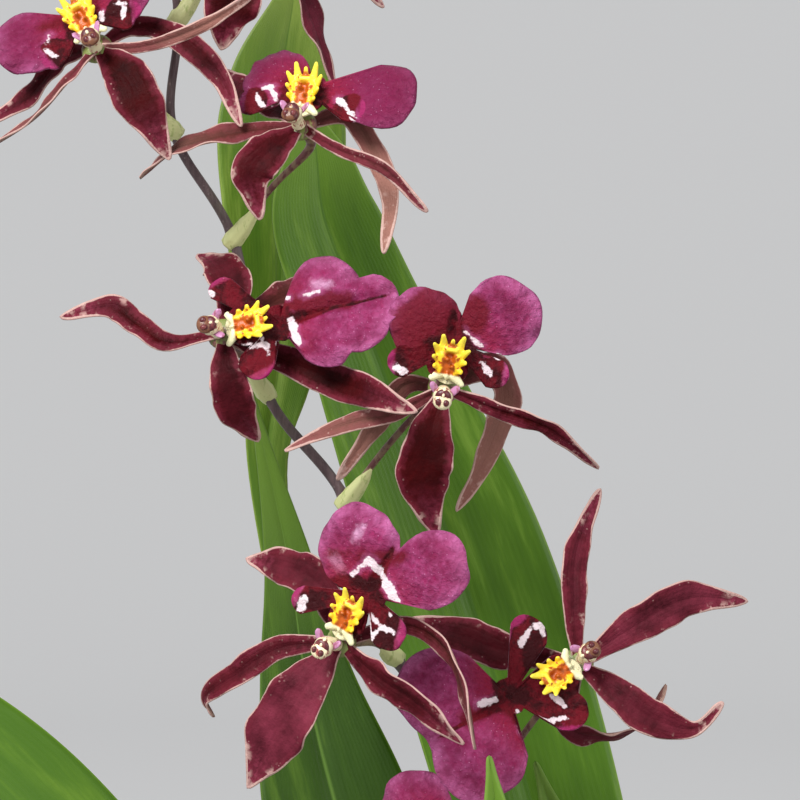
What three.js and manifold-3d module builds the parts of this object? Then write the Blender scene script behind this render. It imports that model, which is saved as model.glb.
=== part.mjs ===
// Potted oncidium orchid: one upright flower spike, its leaves and pseudobulbs, in a plain filled pot.
// Millimetres, +Z up. The origin is the centre of the pot's flat underside, and the blooms face -Y.
import * as THREE from 'three';
import { mergeVertices } from 'three/addons/utils/BufferGeometryUtils.js';
import Module from 'manifold-3d';

const wasm = await Module();
wasm.setup();

// Clearance kept between neighbouring pieces
const GAP = 0.3;

// Pot
const POT_HEIGHT = 115;
const POT_TOP_RADIUS = 66;
const POT_BASE_RADIUS = 48;
const POT_WALL = 3.5;
const POT_FLOOR = 5;
const RIM_HEIGHT = 14;
const RIM_PROUD = 3;
const EDGE_ROUND = 1.5;
const DRAIN_RADIUS = 5;
const DRAIN_RING_RADIUS = 28;
const DRAIN_COUNT = 3;
const DRAIN_SIDES = 14;
const POT_SEGMENTS = 40;

// Bark that fills the pot
const BARK_TOP = 102;
const BARK_CHUNKS = 30;
const CHUNK_LENGTH = [13, 21];
const CHUNK_WIDTH = [8, 13];
const CHUNK_THICKNESS = [4, 6.5];
const CHUNK_SPREAD = 46;
const CHUNK_TILT = 0.7;
const CHUNK_RISE = [1, 2.5];
const GOLDEN_ANGLE = 2.4;
const BARK_SEGMENTS = 24;
const BARK_SEED = 11;
const SEAT_FLOOR = 97;
const SEAT_LEVEL = SEAT_FLOOR + GAP;
const SEAT_DEPTH = 30;
const SEAT_SIDES = 12;

// Spike
const STEM_RADIUS_FOOT = 1.7;
const STEM_RADIUS_TIP = 0.75;
const PEDICEL_RADIUS = 0.85;
const PEDICEL_STRAIGHT = 9;
const PEDICEL_RISE = 1;
const BRACT_LENGTH = 10.5;
const BRACT_WIDTH = 3.6;
const BRACT_THICKNESS = 1.2;
const BRACT_KEEL = 0.5;
const BRACT_TAPER = [0.8, 1, 0.75, 0.2];
const BRACT_SET_BACK = 1.5;
const BRACT_DROOP = [0.4, 1.2];

// Bloom: hub where the five tepals meet, lip, crest and column
const HUB_RADIUS = 3;
const HUB_HALF_DEPTH = 1.2;
const HUB_CENTRE = -1.5;
const TEPAL_THICKNESS = 1.2;
const TEPAL_ROOT_WIDTH = 2;
const TEPAL_STEPS = 7;
const TEPAL_KEEL = 0.15;
const TEPAL_WAVE = 0.15;
const TEPAL_WAVES = 2.4;
const LIP_THICKNESS = 1;
const LIP_LEVEL = 0.85;
const LIP_RAYS = 26;
const LIP_RINGS = [0.4, 0.75];
const LIP_BLEND = 8;
const LIP_NUDGE = 0.02;
const LIP_MIN_REACH = 3.5;
const LIP_NECK = { u: 4.65, radius: 3.8 };
const LOBE_CROWN = 2.2;
const LIFT_FOCUS = 6;
const LIFT_REST = 0.2;
const COLUMN_LENGTH = 6.5;
const COLUMN_RADIUS = 1.45;
const COLUMN_WAIST = 0.25;
const COLUMN_BEND = [-0.7, -0.5, -1.9];
const CAP_RADIUS = 1.9;
const CAP_START = 0.6;
const CAP_MIDDLE = 0.8;
const CAP_ROUNDNESS = 0.9;
const CREST_MIDDLE = 5.4;
const CREST_LENGTH = 6.6;
const CREST_WIDTH = 4.6;
const CREST_HEIGHT = 1.8;
const NOTCH_HEIGHT = 1.4;

// Tips of the crest's teeth [s, u, height above its foot], in turn round its middle
const CREST_TEETH = [
  [-2.4, 10, 3.8], [0, 9, 3.6], [2.6, 10.2, 3.8], [4, 6.4, 3],
  [3.3, 2.6, 2.4], [-3.3, 2.6, 2.4], [-4, 6.4, 3],
];

// Leaves
const LEAF_THICKNESS = 1.8;

// Colours
const COLOURS = {
  pot: 0xb9785a,
  bark: 0x6b4630,
  bulb: 0x7d9440,
  leaf: 0x4f7f1f,
  spike: 0x5a4438,
  bud: 0x7a5a48,
  tepal: 0x4e1020,
  lip: 0xa32a68,
  crest: 0xf2b21a,
  column: 0xe6dcae,
};

const TOWARDS_VIEWER = new THREE.Vector3(0, -1, 0);
const UPWARDS = new THREE.Vector3(0, 0, 1);

// Leaves. A station is [x, y, z, width], from the base to the tip. The upper side looks along face,
// turned about the leaf by roll degrees from base to tip, and keel is how deeply the blade is channelled.
const LEAVES = [
  {
    name: 'leaf_tall_front',
    stations: [[9, 1, 179, 9], [5, 3, 200, 16], [-6, 6, 250, 30], [-16.4, 9, 296, 35.3],
      [-30, 11.5, 341, 35.3], [-43.2, 12, 375, 28.4], [-51.7, 12, 397, 23.8], [-57, 11.5, 411, 21],
      [-58.4, 11, 422, 14], [-59.4, 10, 433.5, 1]],
    face: [0.1, -1, 0.1], roll: [0, 0], keel: 0.16,
  },
  {
    name: 'leaf_tall_back',
    stations: [[-17.8, 14.4, 173, 6], [-21, 16, 190, 9], [-46, 25, 262, 12], [-67.5, 30, 350, 7],
      [-66.4, 30, 384, 15], [-66, 30, 424, 25.8], [-65.8, 29.5, 440, 21], [-63.6, 29, 455, 8.5],
      [-62.9, 28, 464, 1]],
    face: [0.1, -1, 0.1], roll: [0, 0], keel: 0.14,
  },
  {
    name: 'leaf_left_narrow',
    stations: [[-10.2, 11.6, 173, 6], [-13, 11, 190, 13], [-31, 13, 232, 29], [-48, 16, 273, 33],
      [-55.7, 17, 298, 28.5], [-60.8, 18, 320, 18.5], [-64.6, 18, 345, 9], [-72, 18, 378, 1]],
    face: [0.1, -1, 0.05], roll: [0, 0], keel: 0.14,
  },
  {
    name: 'leaf_left_arching',
    stations: [[-38.6, -6.6, 166.8, 7], [-42, -7, 182, 12], [-64, -8, 222, 26], [-90, -8, 260, 36],
      [-118, -9, 294, 36], [-144, -10, 318, 24], [-166, -11, 334, 1]],
    face: [0.35, -0.55, 0.75], roll: [-8, -18], keel: 0.2,
  },
  {
    name: 'leaf_right_long',
    stations: [[36.6, 5.8, 158.8, 7], [38.5, 6.5, 172, 11], [60, 10, 212, 24], [92, 14, 247, 31],
      [126, 18, 262, 23], [153, 22, 257, 1]],
    face: [-0.5, -0.35, 0.8], roll: [0, 0], keel: 0.2,
  },
  {
    name: 'leaf_right_back',
    stations: [[31.4, 12.4, 158.8, 7], [31.4, 15, 172, 11], [40, 42, 212, 24], [54, 78, 244, 29],
      [67, 106, 250, 20], [78, 128, 240, 1]],
    face: [-0.3, -0.6, 0.75], roll: [0, 0], keel: 0.2,
  },
  {
    name: 'leaf_left_back',
    stations: [[-33.6, 1, 166.8, 7], [-35, 4, 180, 11], [-52, 38, 220, 23], [-66, 70, 248, 26],
      [-78, 94, 253, 18], [-88, 114, 243, 1]],
    face: [0.3, -0.6, 0.75], roll: [0, 0], keel: 0.2,
  },
  {
    name: 'leaf_front_right',
    stations: [[25, -26, SEAT_LEVEL, 8], [26, -28, 125, 11], [36, -38, 168, 20], [56, -58, 206, 24],
      [82, -78, 225, 16], [104, -90, 218, 1]],
    face: [-0.4, 0.3, 0.85], roll: [0, 0], keel: 0.3,
  },
  {
    name: 'leaf_sheath_front',
    stations: [[-4, -34, SEAT_LEVEL, 8], [-5, -36, 125, 12], [-8, -44, 180, 17], [-16, -54, 245, 17],
      [-23, -60, 290, 8.5], [-26, -62, 311, 1]],
    face: [-0.4, -1, 0], roll: [10, 20], keel: 0.45,
  },
  {
    name: 'leaf_sheath_inner',
    stations: [[12, -19, SEAT_LEVEL, 8], [14, -18.5, 125, 12], [17, -14, 175, 17], [4, -12, 235, 18],
      [-9, -10, 283, 9.5], [-16, -9, 305.5, 1]],
    face: [0.2, -1, 0.1], roll: [0, 0], keel: 0.45,
  },
];
const STEPS_PER_STATION = 2;

// Pseudobulbs: foot and flat top, broad and narrow half widths, and turn about the vertical in degrees
const BULBS = [
  { foot: [12, -3, 97], top: [9, 1, 178], half: [20, 11.5], turn: 12 },
  { foot: [-15, 17, 97], top: [-14, 13, 172], half: [17.5, 10], turn: -20 },
  { foot: [-36, -5, 98], top: [-36, -3, 166], half: [15, 9.5], turn: 55 },
  { foot: [36, 14, 98], top: [34, 9, 158], half: [15, 9.5], turn: -50 },
];
const BULB_TOP_RADIUS = 4.6;
const BULB_ARCH = [0.17, 0.93];
const SWELLING_LEAN = 0.85;
const ROOTS = [
  [[8, -6, 102], [-6, -28, 106.5], [-22, -42, 104]],
  [[20, -4, 102], [38, -20, 106.5], [40, -36, 104]],
  [[-36, -8, 102], [-44, -22, 106], [-42, -34, 104]],
  [[36, 18, 102], [34, 34, 106], [20, 46, 104]],
];
const ROOT_RADIUS = 1.5;
const ROOT_REACH = 20;
const ROOT_TAPER = 0.45;
const RHIZOME_RADIUS = 4;
const RHIZOME_LEVEL = BARK_TOP - 1;
const RHIZOME_ORDER = [3, 0, 1, 2];

// Spike joints from the foot to the tip; the flowering joints carry the blooms and buds in turn
const SPIKE_FOOT = [[-11, -20, SEAT_LEVEL], [-11, -21, 160], [-15, -22, 220], [-22, -22, 262]];
const SPIKE_JOINTS = [
  [-34.4, -22, 283], [-24.7, -22, 302.5], [-42.9, -22, 326.5], [-52.3, -22, 356], [-67.3, -23, 376.5],
  [-73.5, -24, 405.5], [-84.8, -25, 426], [-83.8, -26, 447], [-87, -26, 469], [-84, -26, 488],
  [-88, -26, 503], [-86, -26, 514],
];

// Plain holes in the bark for what stands in it: place and radius
const BARK_SEATS = [[-11, -20, 2.2], [25.5, -26.5, 5.4], [-4.5, -35, 5.4], [12.5, -19, 5.6]];

// Blooms, lowest first. heart is the bloom's centre and turn its yaw, pitch and roll in degrees.
// Inside a bloom, s runs across it, u towards the lip and n out of its face. Tepals have stations
// [s, u, n, width] after the shared root and a roll from root to tip; a lip lobe is [s, u, radius, lift].
const BLOOMS = [
  {
    joint: 0, heart: [-37.4, -44, 286], turn: [-20, 10, 20],
    dorsal: { stations: [[0, -10, 1, 8], [-1, -19, 0, 10.5], [0, -29, -4, 1]], roll: [0, 0] },
    petals: [
      { stations: [[-10, -4, 0.8, 6], [-19, -7, 1, 6.5], [-29, -13, -4, 1]], roll: [0, 20] },
      { stations: [[10, -4, 0.8, 6], [19, -6, 1, 6.5], [29, -12, -4, 1]], roll: [0, -25] },
    ],
    laterals: [
      { stations: [[-9, 5, -6, 6], [-18, 2, -9, 6.5], [-27, -6, -13, 1]], roll: [0, 20] },
      { stations: [[9, 5, -6, 6], [17, 1, -9, 6.5], [23, -9, -13, 1]], roll: [0, -20] },
    ],
    lobes: [[-7, 12.5, 6.8, -1], [8, 12.5, 6.8, -1], [-6.5, 3.5, 4, 0.5], [6.5, 3.5, 4, 0.5]],
    waist: [0.5, 9],
  },
  {
    joint: 1, heart: [-8.7, -36, 326.2], turn: [5, 15, -122],
    dorsal: { stations: [[0, -12.5, 1, 6.5], [-1, -24, 0.5, 7], [-7, -34.5, -4, 1]], roll: [10, 25] },
    petals: [
      {
        stations: [[-9, -2.5, 1.5, 6], [-16.5, -5.5, 1.5, 6.5], [-22, -11, 1, 5], [-21, -18, 3, 1]],
        roll: [0, 20],
      },
      { stations: [[9.5, -5, 1.5, 4.5], [18, -11.5, 1, 5], [26, -23, -4, 1]], roll: [0, 20] },
    ],
    laterals: [
      {
        stations: [[-8, 7, -6, 4.5], [-13, 2, -10, 5], [-15, -6, -13, 5], [-11, -15, -15, 1]],
        roll: [0, 50],
      },
      { stations: [[10, 9.5, -6, 7], [18, 15, -8, 7], [25.5, 20.5, -12, 1]], roll: [0, 0] },
    ],
    lobes: [[-5, 25.5, 8.6, 0.5], [8.5, 25, 8.8, -1], [-6, 7, 4.8, 0.5], [8.5, 5.5, 4.6, 0.5]],
    waist: [1.5, 15],
  },
  {
    joint: 2, heart: [-53.3, -50, 330.9], turn: [-22, 4, 28],
    dorsal: { stations: [[-1, -10, 1.5, 9.5], [-2, -20, 1, 11.5], [-3.5, -33, -3, 1]], roll: [0, 0] },
    petals: [
      {
        stations: [[-9, -6.5, 1.5, 4.5], [-14, -15, 2, 5], [-18.5, -22, -1, 3.5], [-16, -25, -3, 1]],
        roll: [-10, 40],
      },
      { stations: [[9.5, -1.5, 1, 5.5], [19, -2, 1, 5.5], [30, -4.5, -2, 1]], roll: [15, 35] },
    ],
    laterals: [
      { stations: [[-9.5, 6, -5, 7], [-18.5, 5.5, -8, 7], [-28.5, 2, -12, 1]], roll: [0, 0] },
      {
        stations: [[8, 8, -5, 4], [17.5, 8.5, -4, 5.5], [26, 3, -2, 5], [32, -4.5, -3, 1]],
        roll: [10, 65],
      },
    ],
    lobes: [[-4.5, 17, 7.9, 0], [10, 20.2, 7.2, -0.5], [-7.5, 3.5, 4.2, 0.5], [7, 6, 5, 0.8]],
    waist: [1.5, 10.5],
  },
  {
    joint: 3, heart: [-33.9, -44, 377.2], turn: [0, -4, 10],
    dorsal: { stations: [[-1, -10, 1, 9], [-0.5, -18.5, 0.5, 9.5], [3.5, -27.5, -3, 1]], roll: [0, 0] },
    petals: [
      { stations: [[-8, -6, 0, 3.5], [-17, -10, -1, 5.5], [-27, -17, -5, 1]], roll: [-30, 55] },
      { stations: [[9.5, -2, 1, 4], [20.5, -4, 1, 5], [31, -10, -4, 1]], roll: [20, 50] },
    ],
    laterals: [
      { stations: [[-7, -1, -5, 5], [-11, -9.5, -9, 6], [-16.5, -21.5, -14, 1]], roll: [-20, -30] },
      {
        stations: [[8, 5, -5, 6], [11.5, -1, -7.5, 6.5], [10, -12, -9, 6], [6.5, -23, -10, 1]],
        roll: [0, 10],
      },
    ],
    lobes: [[-5.5, 11, 6.8, -1], [8.5, 15.5, 7, -1], [-7, 3.3, 4, 0.5], [7.5, 4.2, 4.2, 0.5]],
    waist: [0.5, 8.5],
  },
  {
    joint: 4, heart: [-75, -40, 387.6], turn: [-8, 15, 80],
    dorsal: {
      stations: [[0.5, -10, 1, 4], [-4, -15.5, 1, 4.5], [-8.5, -20, 0, 5], [-9.5, -30.5, -4, 1]],
      roll: [30, -20],
    },
    petals: [
      { stations: [[-8, 2.5, -3.5, 7], [-15, 0.5, -8, 8], [-20, -4.5, -13, 1]], roll: [0, 0] },
      { stations: [[8, 0, 0, 6.5], [14.5, 0.5, -4, 7.5], [18.5, 2.5, -12, 1]], roll: [0, 0] },
    ],
    laterals: [
      { stations: [[-6, 8, -8, 5], [-10, 14, -14, 6], [-12, 19, -21, 1]], roll: [0, 0] },
      {
        stations: [[5, 9, -5, 5], [11.5, 19, -4.5, 6.5], [17.5, 27, 1.5, 6], [23.5, 34.5, 7, 1]],
        roll: [10, 25],
      },
    ],
    lobes: [
      [-5.5, 20, 6.4, -5], [5, 21.5, 8.4, 1], [-6.5, 1.5, 3.8, 0.5], [6.5, 5.5, 4.6, 0.5], [-1, 28, 4.5, 1],
    ],
    waist: [0.5, 11],
  },
  {
    joint: 5, heart: [-60.5, -42, 426.3], turn: [-12, 28, 6],
    dorsal: { stations: [[-3.5, -6.5, 1, 7], [-6.5, -12, 0, 8], [-5, -18, -6, 1]], roll: [-10, -25] },
    petals: [
      { stations: [[-10.5, -4.5, 2, 4.5], [-21, -9.5, 3, 5.5], [-28.5, -13.5, -2, 1]], roll: [-15, 60] },
      { stations: [[9, -6, 1.5, 2.6], [18.5, -9.5, 2, 4], [27, -15, -3, 1]], roll: [20, 55] },
    ],
    laterals: [
      { stations: [[-8, 7, -6, 6], [-16.5, 12, -10, 6.5], [-23, 19, -15, 1]], roll: [0, 0] },
      {
        stations: [[7, 5, -5, 5], [13, -1, -7, 6], [17.5, -9, -9, 5], [17.5, -19, -13, 1]],
        roll: [10, 40],
      },
    ],
    lobes: [[-6.2, 8.8, 6.3, -2.2], [15, 6.5, 6.8, 0], [-8.5, 2.8, 3.8, 0.5], [8, 3, 4, 0.5]],
    waist: [0.5, 6.5],
  },
  {
    joint: 6, heart: [-98.5, -40, 440.7], turn: [-12, 22, -29],
    dorsal: { stations: [[2.5, -8.5, 1, 8], [3, -17, 0, 8.5], [3, -25.5, -6, 1]], roll: [0, 0] },
    petals: [
      { stations: [[-7.5, -5, 1.5, 4], [-16, -8.5, 1, 5], [-27.5, -6, -6, 1]], roll: [20, 65] },
      { stations: [[8.5, -6, 1.5, 2.6], [19.5, -9, 4, 4.5], [31, -6, 1, 1]], roll: [20, 70] },
    ],
    laterals: [
      { stations: [[-7, 3.5, -5, 6], [-16, 0.5, -7, 7], [-28, 2, -11, 1]], roll: [0, 0] },
      {
        stations: [[8.5, 2.5, -5, 5], [15, -5, -5, 6], [18, -15, -5, 6], [17.5, -25.5, -7, 1]],
        roll: [0, 30],
      },
    ],
    lobes: [[-11, 6.5, 6.4, -0.5], [8.5, 8.5, 6.4, -1], [-6.5, 1.5, 3.4, 0.5], [6.5, 2.5, 3.8, 0.5]],
    waist: [0, 6],
  },
  {
    joint: 7, heart: [-69.7, -36, 463], turn: [15, 10, 10],
    dorsal: { stations: [[-1, -9, 0.8, 8.5], [-2, -17, 0, 10], [-1.5, -23, -5, 1]], roll: [0, 0] },
    petals: [
      { stations: [[-9.5, -4, 0.8, 5], [-18, -5.5, 1, 6], [-27, -10, -4, 1]], roll: [0, 30] },
      { stations: [[9.5, -4, 0.8, 5], [18, -5, 1, 6], [28, -9, -4, 1]], roll: [0, -20] },
    ],
    laterals: [
      { stations: [[-8, 6, -4, 6], [-16, 7, -5, 6.5], [-25, 4, -7, 1]], roll: [0, 0] },
      {
        stations: [[8, 2, -5, 6], [13, -8, -8, 6.5], [18, -16, -11, 6], [22.5, -24, -13, 1]],
        roll: [0, -20],
      },
    ],
    lobes: [[-6.5, 11.5, 6.6, -1], [7.5, 12, 6.6, -1], [-6.5, 3, 3.8, 0.5], [6.5, 3, 3.8, 0.5]],
    waist: [0.5, 8.5],
  },
  {
    joint: 8, heart: [-99, -40, 492], turn: [-18, 5, -12],
    dorsal: { stations: [[0, -9, 1, 8], [0.5, -17, 0, 9.5], [1, -25, -5, 1]], roll: [0, 0] },
    petals: [
      { stations: [[-9, -4, 0.8, 5], [-17, -6, 1, 6], [-25, -11, -4, 1]], roll: [0, 25] },
      { stations: [[9, -4, 0.8, 5], [17, -7, 1, 6], [25, -13, -4, 1]], roll: [0, -25] },
    ],
    laterals: [
      { stations: [[-8, 5.5, -6, 6], [-16, 5, -10, 6], [-24, 0, -13, 1]], roll: [0, 0] },
      { stations: [[8, 5.5, -6, 6], [15, 3, -9, 6], [22, -3, -12, 1]], roll: [0, 0] },
    ],
    lobes: [[-6.5, 11, 6.2, -1], [7, 11, 6.2, -1], [-6, 3, 3.6, 0.5], [6, 3, 3.6, 0.5]],
    waist: [0.5, 8],
  },
];

// Buds: joint, foot and tip of each, and its greatest half width
const BUDS = [
  { joint: 9, foot: [-74, -31, 499], tip: [-68.5, -36, 514], half: 4.4 },
  { joint: 10, foot: [-95.5, -31, 512], tip: [-99.5, -35, 525], half: 3.8 },
  { joint: 11, foot: [-86.5, -27, 519], tip: [-88.5, -29, 530], half: 2.8 },
];
const BUD_STEPS = 6;
const BUD_ARCH = [0.04, 0.94];
const BUD_END = 0.22;

// Solids and geometry

// A closed geometry as a solid: shared corners merged, and triangles with no area left out
function toSolid(geometry) {
  const plain = geometry.clone();
  plain.deleteAttribute('normal');
  plain.deleteAttribute('uv');
  const merged = mergeVertices(plain, 1e-4);
  const index = merged.index.array;
  const kept = [];
  for (let i = 0; i < index.length; i += 3) {
    const [a, b, c] = [index[i], index[i + 1], index[i + 2]];
    if (a !== b && b !== c && c !== a) {
      kept.push(a, b, c);
    }
  }
  const mesh = new wasm.Mesh({
    numProp: 3,
    vertProperties: new Float32Array(merged.attributes.position.array),
    triVerts: new Uint32Array(kept),
  });
  return new wasm.Manifold(mesh);
}

// A solid back as a geometry
function toGeometry(solid) {
  const mesh = solid.getMesh();
  const geometry = new THREE.BufferGeometry();
  geometry.setAttribute('position', new THREE.BufferAttribute(mesh.vertProperties, 3));
  geometry.setIndex(new THREE.BufferAttribute(mesh.triVerts, 1));
  geometry.computeVertexNormals();
  return geometry;
}

// Several geometries joined in one solid
function fuse(geometries) {
  return geometries.map(toSolid).reduce((whole, piece) => whole.add(piece));
}

function closedGeometry(points, index) {
  const geometry = new THREE.BufferGeometry();
  geometry.setAttribute('position', new THREE.Float32BufferAttribute(points.flatMap((p) => p.toArray()), 3));
  geometry.setIndex(index);
  geometry.computeVertexNormals();
  return geometry;
}

const vector = ([x, y, z]) => new THREE.Vector3(x, y, z);

// Frames at even steps along a smooth curve: centre, tangent, up and across. The first up is facing,
// carried along the curve without twist and then turned by roll degrees from start to end.
function framesAlong(path, steps, facing, roll = [0, 0]) {
  const curve = new THREE.CatmullRomCurve3(path, false, 'catmullrom', 0.5);
  const carried = facing.clone();
  const frames = [];
  for (let i = 0; i <= steps; i += 1) {
    const t = i / steps;
    const tangent = curve.getTangent(t);
    carried.addScaledVector(tangent, -carried.dot(tangent)).normalize();
    const turn = THREE.MathUtils.degToRad(THREE.MathUtils.lerp(roll[0], roll[1], t));
    const up = carried.clone().applyAxisAngle(tangent, turn);
    frames.push({ t, centre: curve.getPoint(t), tangent, up, across: tangent.clone().cross(up) });
  }
  return frames;
}

// A leaf, tepal or bract: a blade through its stations [x, y, z, width], pointed at the last one.
// Its section is a kite, left edge, top, right edge and bottom, whose edges stand keel times the
// half width above its middle and rise and fall by wave times the half width. Both faces are split
// into triangles alike.
function bladeGeometry({ stations, facing, roll, thickness, keel, steps, wave = 0 }) {
  const frames = framesAlong(stations.map(vector), steps, facing, roll);
  const widths = new THREE.SplineCurve(stations.map((station, i) => new THREE.Vector2(i, station[3])));
  const points = [];
  for (const { t, centre, up, across } of frames.slice(0, steps)) {
    const half = widths.getPoint(t).y / 2;
    const phase = 2 * Math.PI * TEPAL_WAVES * t;
    const edge = (sign, ripple) => centre.clone()
      .addScaledVector(across, sign * half)
      .addScaledVector(up, half * (keel + wave * ripple));
    points.push(edge(-1, Math.sin(phase)));
    points.push(centre.clone().addScaledVector(up, thickness / 2));
    points.push(edge(1, Math.cos(phase)));
    points.push(centre.clone().addScaledVector(up, -thickness / 2));
  }
  const tip = points.push(frames[steps].centre) - 1;
  const index = [0, 3, 1, 3, 2, 1];
  for (let i = 0; i < steps - 1; i += 1) {
    const [left, top, right, bottom] = [4 * i, 4 * i + 1, 4 * i + 2, 4 * i + 3];
    const [left2, top2, right2, bottom2] = [left + 4, top + 4, right + 4, bottom + 4];
    index.push(left, top, top2, left, top2, left2);
    index.push(top, right, top2, right, right2, top2);
    index.push(left, bottom2, bottom, left, left2, bottom2);
    index.push(bottom, bottom2, right, right, bottom2, right2);
  }
  const last = 4 * (steps - 1);
  for (let side = 0; side < 4; side += 1) {
    index.push(last + side, last + ((side + 1) % 4), tip);
  }
  return closedGeometry(points, index);
}

// A stalk, root, bulb or bud: an oval section with a radius that follows the curve, flat at both ends
function stalkGeometry({ path, radius, sides, steps, facing = TOWARDS_VIEWER, breadth = 1 }) {
  const points = [];
  for (const { t, centre, up, across } of framesAlong(path.map(vector), steps, facing)) {
    for (let j = 0; j < sides; j += 1) {
      const angle = (j / sides) * 2 * Math.PI;
      const point = centre.clone().addScaledVector(across, radius(t) * breadth * Math.cos(angle));
      points.push(point.addScaledVector(up, radius(t) * Math.sin(angle)));
    }
  }
  const index = [];
  for (let j = 0; j < sides; j += 1) {
    const next = (j + 1) % sides;
    for (let i = 0; i < steps; i += 1) {
      const [low, high] = [i * sides, (i + 1) * sides];
      index.push(low + j, high + j, low + next, low + next, high + j, high + next);
    }
  }
  const top = steps * sides;
  for (let j = 1; j < sides - 1; j += 1) {
    index.push(0, j, j + 1);
    index.push(top, top + j + 1, top + j);
  }
  return closedGeometry(points, index);
}

// A repeatable random number from 0 to 1
function seededRandom(seed) {
  let state = seed;
  return () => {
    state = (state * 1664525 + 1013904223) % 4294967296;
    return state / 4294967296;
  };
}

// Pot and bark

// Radius of the pot's outside at a height
function potRadius(z) {
  return THREE.MathUtils.lerp(POT_BASE_RADIUS, POT_TOP_RADIUS - RIM_PROUD, z / POT_HEIGHT);
}

function lathe(profile, segments) {
  const points = profile.map(([r, z]) => new THREE.Vector2(r, z));
  return new THREE.LatheGeometry(points, segments).rotateX(Math.PI / 2);
}

function makePot() {
  const rimFoot = POT_HEIGHT - RIM_HEIGHT;
  const lip = potRadius(POT_HEIGHT) + RIM_PROUD;
  const body = toSolid(lathe([
    [0, 0],
    [POT_BASE_RADIUS - EDGE_ROUND, 0],
    [potRadius(EDGE_ROUND), EDGE_ROUND],
    [potRadius(rimFoot), rimFoot],
    [lip - EDGE_ROUND, rimFoot],
    [lip, rimFoot + EDGE_ROUND],
    [lip, POT_HEIGHT - EDGE_ROUND],
    [lip - EDGE_ROUND, POT_HEIGHT],
    [potRadius(POT_HEIGHT) - POT_WALL, POT_HEIGHT],
    [potRadius(POT_FLOOR) - POT_WALL, POT_FLOOR],
    [0, POT_FLOOR],
  ], POT_SEGMENTS));
  const drains = Array.from({ length: DRAIN_COUNT }, (_, i) => {
    const angle = (i / DRAIN_COUNT) * 2 * Math.PI;
    const drain = new THREE.CylinderGeometry(DRAIN_RADIUS, DRAIN_RADIUS, 4 * POT_FLOOR, DRAIN_SIDES);
    drain.rotateX(Math.PI / 2);
    drain.translate(DRAIN_RING_RADIUS * Math.cos(angle), DRAIN_RING_RADIUS * Math.sin(angle), 0);
    return toSolid(drain);
  });
  return toGeometry(drains.reduce((pot, drain) => pot.subtract(drain), body));
}

// Rough chips of bark, bedded in the fill at random turns; loose scraps are dropped
function barkChunks() {
  const random = seededRandom(BARK_SEED);
  const between = ([low, high]) => low + (high - low) * random();
  return Array.from({ length: BARK_CHUNKS }, (_, i) => {
    const size = [between(CHUNK_LENGTH), between(CHUNK_WIDTH), between(CHUNK_THICKNESS)];
    const chunk = new THREE.BoxGeometry(...size);
    chunk.rotateX((random() - 0.5) * CHUNK_TILT);
    chunk.rotateY((random() - 0.5) * CHUNK_TILT);
    chunk.rotateZ(random() * Math.PI);
    const reach = CHUNK_SPREAD * Math.sqrt((i + 0.5) / BARK_CHUNKS);
    const angle = i * GOLDEN_ANGLE;
    const height = BARK_TOP + between(CHUNK_RISE);
    return chunk.translate(reach * Math.cos(angle), reach * Math.sin(angle), height);
  });
}

function makeBark() {
  const inner = (z) => potRadius(z) - POT_WALL - GAP;
  const fill = lathe([
    [0, POT_FLOOR + GAP],
    [inner(POT_FLOOR), POT_FLOOR + GAP],
    [inner(BARK_TOP - 2), BARK_TOP - 2],
    [inner(BARK_TOP) - 3, BARK_TOP],
    [0, BARK_TOP],
  ], BARK_SEGMENTS);
  const bed = fuse([fill, ...barkChunks()]);
  const seats = fuse([...bulbPieces(GAP), ...rootPieces(GAP), ...rhizomePieces(GAP)]);
  const holes = BARK_SEATS.map(([x, y, radius]) => {
    const hole = new THREE.CylinderGeometry(radius, radius, SEAT_DEPTH, SEAT_SIDES);
    return toSolid(hole.rotateX(Math.PI / 2).translate(x, y, SEAT_FLOOR + SEAT_DEPTH / 2));
  });
  const bark = holes.reduce((rest, hole) => rest.subtract(hole), bed.subtract(seats));
  const [whole] = bark.decompose().sort((a, b) => b.volume() - a.volume());
  return toGeometry(whole);
}

// Pseudobulbs and roots

// Share of a swelling's greatest half width over its length t: an arch of a sine, fullest a little
// below the middle
function swelling(t, [low, high]) {
  return Math.sin(Math.PI * (low + (high - low) * t ** SWELLING_LEAN));
}

// Margin is added all round, for the seats that the bark has for them
function bulbPieces(margin) {
  return BULBS.map(({ foot, top, half: [broad, narrow], turn }) => {
    const facing = TOWARDS_VIEWER.clone().applyAxisAngle(UPWARDS, THREE.MathUtils.degToRad(turn));
    const shrink = BULB_TOP_RADIUS / narrow;
    const path = [[foot[0], foot[1], foot[2] - margin], top];
    const radius = (t) => narrow * Math.max(swelling(t, BULB_ARCH), shrink) + margin;
    return stalkGeometry({ path, radius, sides: 10, steps: 7, facing, breadth: broad / narrow });
  });
}

function rootPieces(margin) {
  return ROOTS.map(([start, middle, end]) => stalkGeometry({
    path: [start, middle, vector(end).lerp(vector(middle), -margin / ROOT_REACH).toArray()],
    radius: (t) => ROOT_RADIUS * (1 - ROOT_TAPER * t) + margin,
    sides: 5,
    steps: 5,
    facing: UPWARDS,
  }));
}

// The creeping rhizome that joins the bulbs under the bark's surface
function rhizomePieces(margin) {
  const path = RHIZOME_ORDER.map((i) => [BULBS[i].foot[0], BULBS[i].foot[1], RHIZOME_LEVEL]);
  const radius = () => RHIZOME_RADIUS + margin;
  return [stalkGeometry({ path, radius, sides: 6, steps: 6, facing: UPWARDS })];
}

// Spike

function stemRadius(t) {
  return THREE.MathUtils.lerp(STEM_RADIUS_FOOT, STEM_RADIUS_TIP, t);
}

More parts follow.
